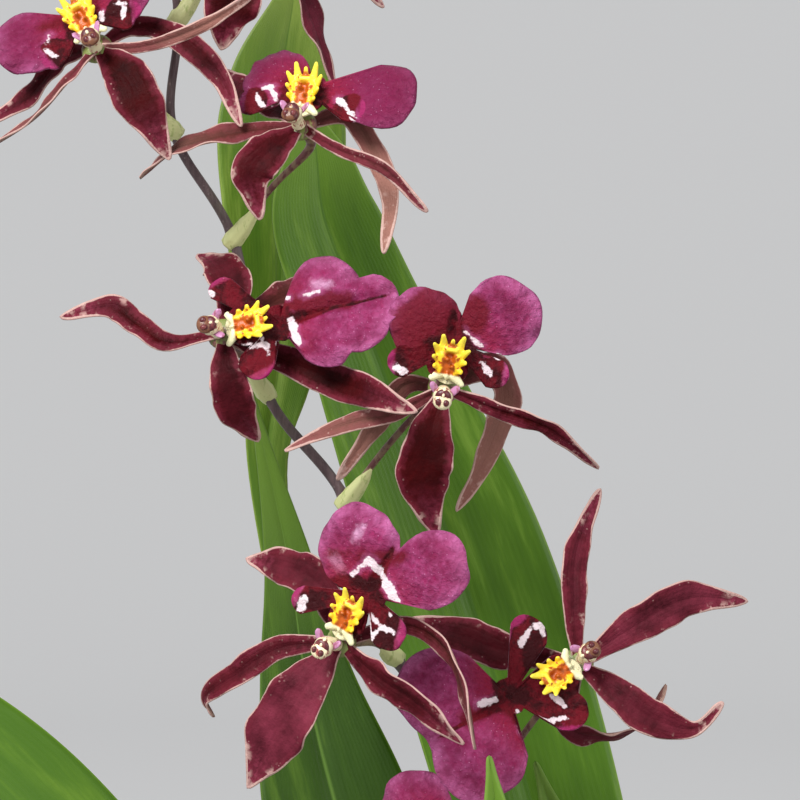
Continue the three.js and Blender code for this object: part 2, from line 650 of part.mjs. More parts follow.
// The pale bract that clasps a joint under its pedicel
function bract(joint, direction) {
  const along = direction.clone().normalize();
  const stations = BRACT_TAPER.map((share, i) => {
    const t = i / (BRACT_TAPER.length - 1);
    const centre = joint.clone().addScaledVector(along, t * BRACT_LENGTH - BRACT_SET_BACK);
    centre.z -= BRACT_DROOP[0] + BRACT_DROOP[1] * t;
    return [...centre.toArray(), BRACT_WIDTH * share];
  });
  return bladeGeometry({
    stations, facing: UPWARDS, roll: [0, 0], thickness: BRACT_THICKNESS, keel: BRACT_KEEL, steps: 3,
  });
}

function pedicel(path) {
  return stalkGeometry({ path, radius: () => PEDICEL_RADIUS, sides: 5, steps: 5 });
}

// Unit vectors of a bloom's frame from its yaw, pitch and roll in degrees
function bloomAxes([yaw, pitch, roll]) {
  const [a, b, c] = [yaw, pitch, roll].map(THREE.MathUtils.degToRad);
  const out = new THREE.Vector3(Math.sin(a) * Math.cos(b), -Math.cos(a) * Math.cos(b), Math.sin(b));
  const side = new THREE.Vector3(Math.cos(a), Math.sin(a), 0).applyAxisAngle(out, -c);
  return { side, lipwards: out.clone().cross(side), out };
}

function makeSpike() {
  const stem = stalkGeometry({
    path: [...SPIKE_FOOT, ...SPIKE_JOINTS],
    radius: stemRadius,
    sides: 6,
    steps: STEPS_PER_STATION * (SPIKE_FOOT.length + SPIKE_JOINTS.length - 1),
  });
  const pieces = [stem];
  for (const { joint, heart, turn } of BLOOMS) {
    const start = vector(SPIKE_JOINTS[joint]);
    const { out } = bloomAxes(turn);
    const end = vector(heart).addScaledVector(out, HUB_CENTRE - HUB_HALF_DEPTH - GAP);
    const behind = vector(heart).addScaledVector(out, -PEDICEL_STRAIGHT);
    const middle = start.clone().lerp(behind, 0.5);
    middle.z += PEDICEL_RISE;
    pieces.push(pedicel([start, middle, behind, end].map((p) => p.toArray())));
    pieces.push(bract(start, middle.clone().sub(start)));
  }
  for (const { joint, foot } of BUDS) {
    const start = vector(SPIKE_JOINTS[joint]);
    const end = vector(foot).lerp(start, GAP / vector(foot).distanceTo(start));
    const middle = start.clone().lerp(end, 0.5);
    middle.z -= PEDICEL_RISE;
    pieces.push(pedicel([start, middle, end].map((p) => p.toArray())));
    if (joint < SPIKE_JOINTS.length - 1) {
      pieces.push(bract(start, middle.clone().sub(start)));
    }
  }
  return toGeometry(fuse(pieces));
}

function makeBud({ foot, tip, half }) {
  return stalkGeometry({
    path: [foot, tip],
    radius: (t) => THREE.MathUtils.lerp(BUD_END * half, half, swelling(t, BUD_ARCH)),
    sides: 8,
    steps: BUD_STEPS,
  });
}

// Blooms, each in its own frame: x across, y towards the lip, z out of its face

function makeTepals({ dorsal, petals, laterals }) {
  const hub = new THREE.SphereGeometry(HUB_RADIUS, 8, 4).rotateX(Math.PI / 2);
  hub.scale(1, 1, HUB_HALF_DEPTH / HUB_RADIUS).translate(0, 0, HUB_CENTRE);
  const blades = [dorsal, ...petals, ...laterals].map(({ stations, roll }) => bladeGeometry({
    stations: [[0, 0, HUB_CENTRE, TEPAL_ROOT_WIDTH], ...stations],
    facing: new THREE.Vector3(0, 0, 1),
    roll,
    thickness: TEPAL_THICKNESS,
    keel: TEPAL_KEEL,
    wave: TEPAL_WAVE,
    steps: TEPAL_STEPS,
  }));
  return toGeometry(fuse([hub, ...blades]));
}

// How far the lip's outline stands from its waist along a direction: the far side of each round
// lobe that the direction meets, blended so that the notches between lobes are soft
function lipReach(waist, discs, direction) {
  const reaches = discs.map(([s, u, radius]) => {
    const offset = new THREE.Vector2(s, u).sub(waist);
    const along = offset.dot(direction);
    const across = offset.lengthSq() - along * along;
    return across < radius * radius ? Math.max(along + Math.sqrt(radius * radius - across), 0) : 0;
  });
  const total = reaches.reduce((sum, reach) => sum + reach ** LIP_BLEND, LIP_MIN_REACH ** LIP_BLEND);
  return total ** (1 / LIP_BLEND);
}

// Height of the lip's rim along a direction, from the lobes that lie that way
function lipLift(waist, lobes, direction) {
  let [lift, weight] = [0, LIFT_REST];
  for (const [s, u, , rise] of lobes) {
    const alignment = new THREE.Vector2(s, u).sub(waist).normalize().dot(direction);
    const nearness = Math.max(alignment, 0) ** LIFT_FOCUS;
    lift += rise * nearness;
    weight += nearness;
  }
  return lift / weight;
}

// A point of the lip's middle surface, a fraction of the way from the waist to the rim
function lipPoint(waist, lobes, angle, fraction) {
  const discs = [...lobes, [0, LIP_NECK.u, LIP_NECK.radius]];
  const direction = new THREE.Vector2(Math.sin(angle), Math.cos(angle));
  const place = waist.clone().addScaledVector(direction, lipReach(waist, discs, direction) * fraction);
  const crown = lobes.slice(0, 2).reduce((sum, [s, u, radius]) => {
    const away = place.distanceTo(new THREE.Vector2(s, u)) / radius;
    return sum + LOBE_CROWN * fraction * Math.max(1 - away * away, 0);
  }, 0);
  const height = LIP_LEVEL + lipLift(waist, lobes, direction) * fraction ** 2 + crown;
  return new THREE.Vector3(place.x, place.y, height);
}

function makeLip({ lobes, waist: [waistS, waistU] }) {
  const waist = new THREE.Vector2(waistS, waistU);
  const half = new THREE.Vector3(0, 0, LIP_THICKNESS / 2);
  const middle = lipPoint(waist, lobes, 0, 0);
  const points = [middle.clone().add(half), middle.clone().sub(half)];
  const rows = LIP_RINGS.length;
  const perRay = 2 * rows + 1;
  for (let j = 0; j < LIP_RAYS; j += 1) {
    const angle = (j / LIP_RAYS) * 2 * Math.PI;
    for (const fraction of LIP_RINGS) {
      const point = lipPoint(waist, lobes, angle, fraction);
      const onwards = lipPoint(waist, lobes, angle, fraction + LIP_NUDGE).sub(point);
      const around = lipPoint(waist, lobes, angle + LIP_NUDGE, fraction).sub(point);
      const normal = around.cross(onwards).normalize().multiplyScalar(LIP_THICKNESS / 2);
      points.push(point.clone().add(normal), point.clone().sub(normal));
    }
    points.push(lipPoint(waist, lobes, angle, 1));
  }
  const index = [];
  for (let j = 0; j < LIP_RAYS; j += 1) {
    const here = 2 + j * perRay;
    const next = 2 + ((j + 1) % LIP_RAYS) * perRay;
    index.push(0, next, here, 1, here + 1, next + 1);
    for (let row = 0; row < rows; row += 1) {
      const [a, b] = [here + 2 * row, next + 2 * row];
      const rim = row === rows - 1;
      const [c, d] = [a + 2, b + 2];
      const [cBelow, dBelow] = rim ? [c, d] : [c + 1, d + 1];
      index.push(a, b, d, a, d, c);
      index.push(a + 1, dBelow, b + 1, a + 1, cBelow, dBelow);
    }
  }
  return closedGeometry(points, index);
}

// The yellow crest that stands on the lip's neck: a low mound whose rim runs out in pointed teeth,
// with a notch in its rim between each tooth and the next
function makeCrest() {
  const level = LIP_LEVEL + LIP_THICKNESS / 2 + GAP;
  const count = CREST_TEETH.length;
  const middle = new THREE.Vector3(0, CREST_MIDDLE, level + CREST_HEIGHT);
  const tips = CREST_TEETH.map(([s, u, height]) => new THREE.Vector3(s, u, level + height));
  const notches = tips.map((tip, i) => {
    const before = tips[(i + count - 1) % count];
    const across = (tip.x + before.x) / 2;
    const along = (tip.y + before.y) / 2 - CREST_MIDDLE;
    const reach = Math.hypot(across / (CREST_WIDTH / 2), along / (CREST_LENGTH / 2));
    return new THREE.Vector3(across / reach, CREST_MIDDLE + along / reach, level + NOTCH_HEIGHT);
  });
  const feet = notches.map((notch) => new THREE.Vector3(notch.x, notch.y, level));
  const index = [];
  for (let i = 0; i < count; i += 1) {
    const next = (i + 1) % count;
    const [tip, notch, foot] = [1 + i, 1 + count + i, 1 + 2 * count + i];
    const [notch2, foot2] = [1 + count + next, 1 + 2 * count + next];
    index.push(0, tip, notch, 0, notch2, tip);
    index.push(notch, tip, foot, tip, foot2, foot, tip, notch2, foot2);
    if (i > 0 && next > 0) {
      index.push(1 + 2 * count, foot, foot2);
    }
  }
  return closedGeometry([middle, ...tips, ...notches, ...feet], index);
}

// The column that stands out of the bloom's heart, waisted, with its rounded anther cap at the end
function makeColumn() {
  const foot = HUB_CENTRE + HUB_HALF_DEPTH + GAP;
  const waisted = (t) => COLUMN_RADIUS * (1 - COLUMN_WAIST * Math.sin((Math.PI * t) / CAP_START));
  const pastMiddle = (t) => (t - CAP_MIDDLE) / (1 - CAP_MIDDLE);
  const rounded = (t) => CAP_RADIUS * Math.sqrt(1 - CAP_ROUNDNESS * pastMiddle(t) ** 2);
  return stalkGeometry({
    path: COLUMN_BEND.map((u, i) => [0, u, foot + (COLUMN_LENGTH * i) / (COLUMN_BEND.length - 1)]),
    radius: (t) => (t < CAP_START ? waisted(t) : rounded(t)),
    sides: 7,
    steps: 6,
    facing: new THREE.Vector3(0, 1, 0),
  });
}

// Assembly

const group = new THREE.Group();

function add(parent, name, geometry, colour, roughness) {
  const material = new THREE.MeshStandardMaterial({ color: colour, roughness, metalness: 0 });
  const mesh = new THREE.Mesh(geometry, material);
  mesh.name = name;
  parent.add(mesh);
}

add(group, 'pot', makePot(), COLOURS.pot, 0.8);
add(group, 'bark_fill', makeBark(), COLOURS.bark, 0.95);
const growth = fuse([...bulbPieces(0), ...rootPieces(0), ...rhizomePieces(0)]);
add(group, 'pseudobulbs', toGeometry(growth), COLOURS.bulb, 0.55);
for (const { name, stations, face, roll, keel } of LEAVES) {
  const geometry = bladeGeometry({
    stations,
    facing: vector(face),
    roll,
    keel,
    thickness: LEAF_THICKNESS,
    steps: STEPS_PER_STATION * (stations.length - 1),
  });
  add(group, name, geometry, COLOURS.leaf, 0.4);
}
add(group, 'spike', makeSpike(), COLOURS.spike, 0.6);
BUDS.forEach((bud, i) => add(group, `bud_${i + 1}`, makeBud(bud), COLOURS.bud, 0.6));
BLOOMS.forEach((bloom, i) => {
  const { side, lipwards, out } = bloomAxes(bloom.turn);
  const place = new THREE.Group();
  place.position.set(...bloom.heart);
  place.setRotationFromMatrix(new THREE.Matrix4().makeBasis(side, lipwards, out));
  add(place, `bloom_${i + 1}_tepals`, makeTepals(bloom), COLOURS.tepal, 0.6);
  add(place, `bloom_${i + 1}_lip`, makeLip(bloom), COLOURS.lip, 0.5);
  add(place, `bloom_${i + 1}_crest`, makeCrest(), COLOURS.crest, 0.4);
  add(place, `bloom_${i + 1}_column`, makeColumn(), COLOURS.column, 0.45);
  group.add(place);
});

export default group;
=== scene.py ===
"""Potted oncidium orchid: the finished surfaces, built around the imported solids.

Sizes are millimetres unless a name ends in metres, and +Z is up. The blooms face -Y, and +X is to the
viewer's right. Inside a bloom, s runs across it, u towards the lip and n out of its face.
"""

import logging
import math
from collections.abc import Callable, Sequence
from dataclasses import dataclass
from enum import Enum

import bpy
import numpy as np
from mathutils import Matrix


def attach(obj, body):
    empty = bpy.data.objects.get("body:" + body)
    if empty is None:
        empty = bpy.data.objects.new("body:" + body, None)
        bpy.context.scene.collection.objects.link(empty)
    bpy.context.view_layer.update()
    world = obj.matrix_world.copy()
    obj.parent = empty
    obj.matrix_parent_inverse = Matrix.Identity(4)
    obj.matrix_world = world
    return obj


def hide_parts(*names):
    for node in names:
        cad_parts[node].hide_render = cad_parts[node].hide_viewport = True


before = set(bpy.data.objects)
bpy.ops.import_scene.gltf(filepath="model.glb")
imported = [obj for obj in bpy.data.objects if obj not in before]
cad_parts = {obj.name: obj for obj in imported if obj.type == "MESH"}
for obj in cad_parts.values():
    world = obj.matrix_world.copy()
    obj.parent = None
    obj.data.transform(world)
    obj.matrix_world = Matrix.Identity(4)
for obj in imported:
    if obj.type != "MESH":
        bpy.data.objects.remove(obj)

log = logging.getLogger("orchid")

Numbers = np.ndarray
Triple = tuple[float, float, float]
Station = tuple[float, float, float, float]
Radius = Callable[[Numbers, Numbers], Numbers]
Object = bpy.types.Object
Material = bpy.types.Material
Socket = bpy.types.NodeSocket

MM = 0.001
FULL_TURN = 2 * math.pi
UPWARDS = np.array([0.0, 0.0, 1.0])
TOWARDS_VIEWER = np.array([0.0, -1.0, 0.0])
LIPWARDS = np.array([0.0, 1.0, 0.0])
LIP_MIDDLE = np.array([0.0, 4.0])
MERGE_METRES = 1e-7
BODY = "root"

# Places that the solids and the finished pieces share
GAP = 0.3
POT_HEIGHT = 115
POT_FLOOR = 5
POT_WALL = 3.5
POT_BASE_RADIUS = 48
POT_TOP_RADIUS = 63
SEAT_LEVEL = 97.3
BARK_TOP = 102


class Slot(Enum):
    """The material slots."""

    POT = "pot_clay"
    BARK = "bark"
    BULB = "bulb_skin"
    LEAF = "leaf"
    STEM = "stem"
    BUD = "bud"
    TEPAL = "tepal"
    LIP = "lip"
    CREST = "crest"
    COLUMN = "column"


@dataclass(frozen=True)
class Blade:
    """A blade's stations [x, y, z, width] from base to tip, and its turn in degrees at both ends."""

    stations: tuple[Station, ...]
    roll: tuple[float, float] = (0, 0)


@dataclass(frozen=True)
class LeafPlan:
    """One leaf: its stations, the way its upper side looks, how deeply it is channelled and its turn."""

    name: str
    stations: tuple[Station, ...]
    face: Triple
    keel: float
    roll: tuple[float, float] = (0, 0)


@dataclass(frozen=True)
class BloomPlan:
    """One bloom: its joint on the spike, centre, yaw, pitch and roll, its lip's waist, tepals and lobes.

    The tepals are the dorsal sepal, two petals and two lateral sepals, and a lobe is [s, u, radius, lift].
    """

    joint: int
    heart: Triple
    turn: Triple
    waist: tuple[float, float]
    tepals: tuple[Blade, ...]
    lobes: tuple[tuple[float, float, float, float], ...]


@dataclass(frozen=True)
class Stroke:
    """One white marking on a lip: the points [s, u] that it runs through, and its width."""

    points: tuple[tuple[float, float], ...]
    width: float


LEAVES = (
    LeafPlan(
        name="leaf_tall_front",
        stations=(
            (9, 1, 179, 9), (5, 3, 200, 16), (-6, 6, 250, 30), (-16.4, 9, 296, 35.3),
            (-30, 11.5, 341, 35.3), (-43.2, 12, 375, 28.4), (-51.7, 12, 397, 23.8), (-57, 11.5, 411, 21),
            (-58.4, 11, 422, 14), (-59.4, 10, 433.5, 1),
        ),
        face=(0.1, -1, 0.1), keel=0.16,
    ),
    LeafPlan(
        name="leaf_tall_back",
        stations=(
            (-17.8, 14.4, 173, 6), (-21, 16, 190, 9), (-46, 25, 262, 12), (-67.5, 30, 350, 7),
            (-66.4, 30, 384, 15), (-66, 30, 424, 25.8), (-65.8, 29.5, 440, 21), (-63.6, 29, 455, 8.5),
            (-62.9, 28, 464, 1),
        ),
        face=(0.1, -1, 0.1), keel=0.14,
    ),
    LeafPlan(
        name="leaf_left_narrow",
        stations=(
            (-10.2, 11.6, 173, 6), (-13, 11, 190, 13), (-31, 13, 232, 29), (-48, 16, 273, 33),
            (-55.7, 17, 298, 28.5), (-60.8, 18, 320, 18.5), (-64.6, 18, 345, 9), (-72, 18, 378, 1),
        ),
        face=(0.1, -1, 0.05), keel=0.14,
    ),
    LeafPlan(
        name="leaf_left_arching",
        stations=(
            (-38.6, -6.6, 166.8, 7), (-42, -7, 182, 12), (-64, -8, 222, 26), (-90, -8, 260, 36),
            (-118, -9, 294, 36), (-144, -10, 318, 24), (-166, -11, 334, 1),
        ),
        face=(0.35, -0.55, 0.75), keel=0.2, roll=(-8, -18),
    ),
    LeafPlan(
        name="leaf_right_long",
        stations=(
            (36.6, 5.8, 158.8, 7), (38.5, 6.5, 172, 11), (60, 10, 212, 24), (92, 14, 247, 31),
            (126, 18, 262, 23), (153, 22, 257, 1),
        ),
        face=(-0.5, -0.35, 0.8), keel=0.2,
    ),
    LeafPlan(
        name="leaf_right_back",
        stations=(
            (31.4, 12.4, 158.8, 7), (31.4, 15, 172, 11), (40, 42, 212, 24), (54, 78, 244, 29),
            (67, 106, 250, 20), (78, 128, 240, 1),
        ),
        face=(-0.3, -0.6, 0.75), keel=0.2,
    ),
    LeafPlan(
        name="leaf_left_back",
        stations=(
            (-33.6, 1, 166.8, 7), (-35, 4, 180, 11), (-52, 38, 220, 23), (-66, 70, 248, 26),
            (-78, 94, 253, 18), (-88, 114, 243, 1),
        ),
        face=(0.3, -0.6, 0.75), keel=0.2,
    ),
    LeafPlan(
        name="leaf_front_right",
        stations=(
            (25, -26, SEAT_LEVEL, 8), (26, -28, 125, 11), (36, -38, 168, 20), (56, -58, 206, 24),
            (82, -78, 225, 16), (104, -90, 218, 1),
        ),
        face=(-0.4, 0.3, 0.85), keel=0.3,
    ),
    LeafPlan(
        name="leaf_sheath_front",
        stations=(
            (-4, -34, SEAT_LEVEL, 8), (-5, -36, 125, 12), (-8, -44, 180, 17), (-16, -54, 245, 17),
            (-23, -60, 290, 8.5), (-26, -62, 311, 1),
        ),
        face=(-0.4, -1, 0), keel=0.45, roll=(10, 20),
    ),
    LeafPlan(
        name="leaf_sheath_inner",
        stations=(
            (12, -19, SEAT_LEVEL, 8), (14, -18.5, 125, 12), (17, -14, 175, 17), (4, -12, 235, 18),
            (-9, -10, 283, 9.5), (-16, -9, 305.5, 1),
        ),
        face=(0.2, -1, 0.1), keel=0.45,
    ),
)

BLOOMS = (
    BloomPlan(
        joint=0, heart=(-37.4, -44, 286), turn=(-20, 10, 20), waist=(0.5, 9),
        tepals=(
            Blade(((0, -10, 1, 8), (-1, -19, 0, 10.5), (0, -29, -4, 1))),
            Blade(((-10, -4, 0.8, 6), (-19, -7, 1, 6.5), (-29, -13, -4, 1)), (0, 20)),
            Blade(((10, -4, 0.8, 6), (19, -6, 1, 6.5), (29, -12, -4, 1)), (0, -25)),
            Blade(((-9, 5, -6, 6), (-18, 2, -9, 6.5), (-27, -6, -13, 1)), (0, 20)),
            Blade(((9, 5, -6, 6), (17, 1, -9, 6.5), (23, -9, -13, 1)), (0, -20)),
        ),
        lobes=((-7, 12.5, 6.8, -1), (8, 12.5, 6.8, -1), (-6.5, 3.5, 4, 0.5), (6.5, 3.5, 4, 0.5)),
    ),
    BloomPlan(
        joint=1, heart=(-8.7, -36, 326.2), turn=(5, 15, -122), waist=(1.5, 15),
        tepals=(
            Blade(((0, -12.5, 1, 6.5), (-1, -24, 0.5, 7), (-7, -34.5, -4, 1)), (10, 25)),
            Blade(((-9, -2.5, 1.5, 6), (-16.5, -5.5, 1.5, 6.8), (-22, -11, 1, 3.2), (-21, -18, 3, 1)),
                  (0, 20)),
            Blade(((9.5, -5, 1.5, 4.5), (18, -11.5, 1, 5), (26, -23, -4, 1)), (0, 20)),
            Blade(((-8, 7, -6, 4.5), (-13, 2, -10, 5), (-15, -6, -13, 5), (-11, -15, -15, 1)), (0, 50)),
            Blade(((10, 9.5, -6, 7), (18, 15, -8, 7), (25.5, 20.5, -12, 1))),
        ),
        lobes=((-5, 25.5, 8.6, 0.5), (8.5, 25, 8.8, -1), (-6.6, 7, 4.1, 0.5), (9, 5.4, 3.9, 0.5)),
    ),
    BloomPlan(
        joint=2, heart=(-53.3, -50, 330.9), turn=(-22, 4, 28), waist=(1.5, 10.5),
        tepals=(
            Blade(((-1, -10, 1.5, 9.5), (-2, -20, 1, 11.5), (-3.5, -33, -3, 1))),
            Blade(((-9, -6.5, 1.5, 4.5), (-14, -15, 2, 5), (-18.5, -22, -1, 3.5), (-16, -25, -3, 1)),
                  (-10, 40)),
            Blade(((9.5, -1.5, 1, 5.5), (19, -2, 1, 5.5), (30, -4.5, -2, 1)), (15, 35)),
            Blade(((-9.5, 6, -5, 7), (-18.5, 5.5, -8, 7), (-28.5, 2, -12, 1))),
            Blade(((8, 8, -5, 3.4), (17.5, 8.5, -4, 4), (26, 3, -2, 3.6), (32, -4.5, -3, 1)), (10, 65)),
        ),
        lobes=((-4.5, 17, 7.9, 0), (10, 20.2, 7.2, -0.5), (-8.2, 3.6, 3.3, 0.5), (7.4, 6.2, 4.3, 0.8)),
    ),
    BloomPlan(
        joint=3, heart=(-33.9, -44, 377.2), turn=(0, -4, 10), waist=(0.5, 8.5),
        tepals=(
            Blade(((-1, -10, 1, 9), (-0.5, -18.5, 0.5, 9.5), (3.5, -27.5, -3, 1))),
            Blade(((-8, -6, 0, 3), (-17, -10, -1, 3.6), (-27, -17, -5, 1)), (-30, 55)),
            Blade(((9.5, -2, 1, 3.4), (20.5, -4, 1, 4), (31, -10, -4, 1)), (20, 50)),
            Blade(((-7, -1, -5, 3.8), (-11, -9.5, -9, 4), (-16.5, -21.5, -14, 1)), (-20, -30)),
            Blade(((8, 5, -5, 6), (11.5, -1, -7.5, 6.5), (10, -12, -9, 6), (6.5, -23, -10, 1)), (0, 10)),
        ),
        lobes=((-5.5, 11, 6.8, -1), (8.5, 15, 7.2, -1), (-7.6, 3.5, 3.3, 0.5), (8, 4.2, 3.5, 0.5)),
    ),
    BloomPlan(
        joint=4, heart=(-75, -40, 387.6), turn=(-8, 15, 80), waist=(0.5, 11),
        tepals=(
            Blade(((0.5, -10, 1, 4), (-4, -15.5, 1, 4.5), (-8.5, -20, 0, 5), (-9.5, -30.5, -4, 1)),
                  (30, -20)),
            Blade(((-8, 2.5, -3.5, 7), (-15, 0.5, -8, 8), (-20, -4.5, -13, 1))),
            Blade(((8, 0, 0, 6.5), (14.5, 0.5, -4, 7.5), (18.5, 2.5, -12, 1))),
            Blade(((-6, 8, -8, 5), (-10, 14, -14, 6), (-12, 19, -21, 1))),
            Blade(((5, 9, -5, 5), (11.5, 19, -4.5, 6.5), (17.5, 27, 1.5, 6), (23.5, 34.5, 7, 1)), (10, 25)),
        ),
        lobes=(
            (-5.5, 20, 6.4, -5), (4, 20, 6.6, 1), (-6.9, 1.8, 3.2, 0.5), (6.5, 5.8, 4.1, 0.5),
            (-1, 28, 4.5, 1), (2.8, 25.5, 5.6, 1),
        ),
    ),
    BloomPlan(
        joint=5, heart=(-60.5, -42, 426.3), turn=(-12, 28, 6), waist=(0.5, 6.5),
        tepals=(
            Blade(((-3.5, -6.5, 1, 7), (-6.5, -12, 0, 8), (-5, -18, -6, 1)), (-10, -25)),
            Blade(((-10.5, -4.5, 2, 4.5), (-21, -9.5, 3, 5.5), (-28.5, -13.5, -2, 1)), (-15, 60)),
            Blade(((9, -6, 1.5, 2.2), (18.5, -9.5, 2, 2.6), (27, -15, -3, 1)), (20, 55)),
            Blade(((-8, 7, -6, 6), (-16.5, 12, -10, 6.5), (-23, 19, -15, 1))),
            Blade(((7, 5, -5, 4), (13, -1, -7, 4.2), (17.5, -9, -9, 3.8), (17.5, -19, -13, 1)), (10, 40)),
        ),
        lobes=((-6.2, 8.8, 6.3, -2.2), (15, 6.5, 6.8, 0), (-9, 2.8, 3.2, 0.5), (8.6, 3, 3.4, 0.5)),
    ),
    BloomPlan(
        joint=6, heart=(-98.5, -40, 440.7), turn=(-12, 22, -29), waist=(0, 6),
        tepals=(
            Blade(((2.5, -8.5, 1, 8), (3, -17, 0, 8.5), (3, -25.5, -6, 1))),
            Blade(((-7.5, -5, 1.5, 3), (-16, -8.5, 1, 3.2), (-27.5, -6, -6, 1)), (20, 65)),
            Blade(((8.5, -6, 1.5, 2.2), (19.5, -9, 4, 2.6), (31, -6, 1, 1)), (20, 70)),
            Blade(((-7, 3.5, -5, 4.6), (-16, 0.5, -7, 4.8), (-28, 2, -11, 1))),
            Blade(((8.5, 2.5, -5, 4.2), (15, -5, -5, 5), (18, -15, -5, 4.4), (17.5, -25.5, -7, 1)), (0, 30)),
        ),
        lobes=((-11, 6.5, 6.4, -0.5), (8.5, 8.5, 6.4, -1), (-6.5, 1.5, 3.4, 0.5), (6.5, 2.5, 3.8, 0.5)),
    ),
    BloomPlan(
        joint=7, heart=(-69.7, -36, 463), turn=(15, 10, 10), waist=(0.5, 8.5),
        tepals=(
            Blade(((-1, -9, 0.8, 8.5), (-2, -17, 0, 10), (-1.5, -23, -5, 1))),
            Blade(((-9.5, -4, 0.8, 5), (-18, -5.5, 1, 6), (-27, -10, -4, 1)), (0, 30)),
            Blade(((9.5, -4, 0.8, 5), (18, -5, 1, 6), (28, -9, -4, 1)), (0, -20)),
            Blade(((-8, 6, -4, 6), (-16, 7, -5, 6.5), (-25, 4, -7, 1))),
            Blade(((8, 2, -5, 6), (13, -8, -8, 6.5), (18, -16, -11, 6), (22.5, -24, -13, 1)), (0, -20)),
        ),
        lobes=((-6.5, 11.5, 6.6, -1), (7.5, 12, 6.6, -1), (-6.5, 3, 3.8, 0.5), (6.5, 3, 3.8, 0.5)),
    ),
    BloomPlan(
        joint=8, heart=(-99, -40, 492), turn=(-18, 5, -12), waist=(0.5, 8),
        tepals=(
            Blade(((0, -9, 1, 8), (0.5, -17, 0, 9.5), (1, -25, -5, 1))),
            Blade(((-9, -4, 0.8, 5), (-17, -6, 1, 6), (-25, -11, -4, 1)), (0, 25)),
            Blade(((9, -4, 0.8, 5), (17, -7, 1, 6), (25, -13, -4, 1)), (0, -25)),
            Blade(((-8, 5.5, -6, 6), (-16, 5, -10, 6), (-24, 0, -13, 1))),
            Blade(((8, 5.5, -6, 6), (15, 3, -9, 6), (22, -3, -12, 1))),
        ),
        lobes=((-6.5, 11, 6.2, -1), (7, 11, 6.2, -1), (-6, 3, 3.6, 0.5), (6, 3, 3.6, 0.5)),
    ),
)

# White markings on the lips, by bloom; the others share one common set
COMMON_STROKES = (
    Stroke(((-5, 9.5), (-2.5, 10.8)), 0.6),
    Stroke(((2, 10.8), (5, 9)), 0.9),
    Stroke(((5, 6.5), (8, 4), (7, 2)), 0.8),
    Stroke(((-8, 4.5), (-7.8, 2.5)), 1.0),
)
STROKES = {
    2: (
        Stroke(((-1.5, 15), (-5, 16.5)), 0.8), Stroke(((-3, 8), (-5.5, 7)), 0.9),
        Stroke(((-6, 12), (-7.5, 8.5)), 0.8), Stroke(((2.5, 17), (3.5, 20.5)), 0.8),
        Stroke(((8.5, 7.5), (10, 4.5), (9.5, 2.5), (7.5, 3)), 0.9),
    ),
    3: (
        Stroke(((-3, 12), (-1.5, 16.3)), 0.6), Stroke(((-1.5, 16.3), (3.5, 14), (7.5, 11.5)), 1.4),
        Stroke(((6.8, 9.9), (7.2, 9.2)), 0.5), Stroke(((3.5, 7.5), (6.5, 6.5)), 0.8),
        Stroke(((9.5, 7), (6.5, 6.5), (6, 3.5)), 0.9), Stroke(((-9, 3.8), (-9, 1.8)), 1.4),
    ),
    4: (
        Stroke(((2, 11), (5.5, 9)), 0.7), Stroke(((6, 6), (8, 4)), 0.9),
        Stroke(((-9.3, 2.3), (-7.8, 1.7)), 1.1), Stroke(((9, 7.9), (9, 7.1)), 0.5),
    ),
    5: (
        Stroke(((0, 13), (5, 14)), 1.4), Stroke(((4.3, 10.5), (4.8, 10.6)), 0.7),
        Stroke(((1.5, 7), (4, 7.5), (4, 4)), 0.8), Stroke(((4, 7.5), (6, 8.5)), 0.8),
        Stroke(((-4, 12), (-4, 13.2)), 0.6), Stroke(((-4, 16), (-4, 19.5)), 0.5),
        Stroke(((-7.5, -2.5), (-7.3, -0.5)), 1.0),
    ),
    6: (
        Stroke(((6.5, 5), (8, 3.5), (10.5, 1)), 0.9), Stroke(((-9, 4.5), (-7.5, 2)), 0.8),
        Stroke(((-8, 5.5), (-6, 6)), 0.6), Stroke(((-6, 5), (-4.5, 3)), 0.6),
    ),
    7: (
        Stroke(((-6.5, 5.5), (-8.5, 3), (-7.5, 1)), 0.6), Stroke(((3.5, 4.8), (3.5, 3.5)), 0.7),
        Stroke(((8, 4), (7, 1.5)), 0.6), Stroke(((6.5, 5), (8.5, 4)), 0.6),
    ),
}

# Painted highlights and pale patches on the lips, by bloom
PALE_PATCHES_AND_HIGHLIGHTS = {
    3: (Stroke(((-5.3, 20.8), (-5.4, 18.4)), 1.2), Stroke(((-7.8, 13.4), (-5.4, 12.0)), 1.8)),
    5: (Stroke(((-5.0, 21.0), (-5.6, 18.5)), 1.4),),
}

# How much darker a lip is than the others, by bloom
MOODS = {1: 0.2, 6: 0.72, 7: 0.48, 8: 0.3}

# Shaded folds on the lips, by bloom
SHADES = {
    2: (Stroke(((-1, 14), (2, 18), (2, 24)), 2.4),),
    3: (Stroke(((-8.5, 13.6), (-5.5, 15.2)), 0.3), Stroke(((-2.6, 16.0), (0.5, 17.6), (4.0, 19.6)), 1.6)),
    4: (Stroke(((-7.5, 5.0), (-8.0, 11.0), (-4.5, 14.5), (-0.5, 12.5), (2.2, 14.0)), 7.0),),
    5: (Stroke(((-3.0, 12.0), (-2.4, 17.0), (-1.6, 23.5)), 2.8),),
    6: (Stroke(((-3.0, 8.0), (0.5, 10.0)), 2.0),),
    7: (Stroke(((-4.0, 7.0), (-7.0, 7.5)), 1.4), Stroke(((2.0, 7.5), (5.0, 8.5)), 1.4)),
}

# Blooms whose anther cap is cream; the others have a brown one
CREAM_CAPS = (1, 3, 4, 9)

# How much fuller the tepals are near their tips, by bloom; the others are slimmer there
FULLNESS = {3: 0.13}

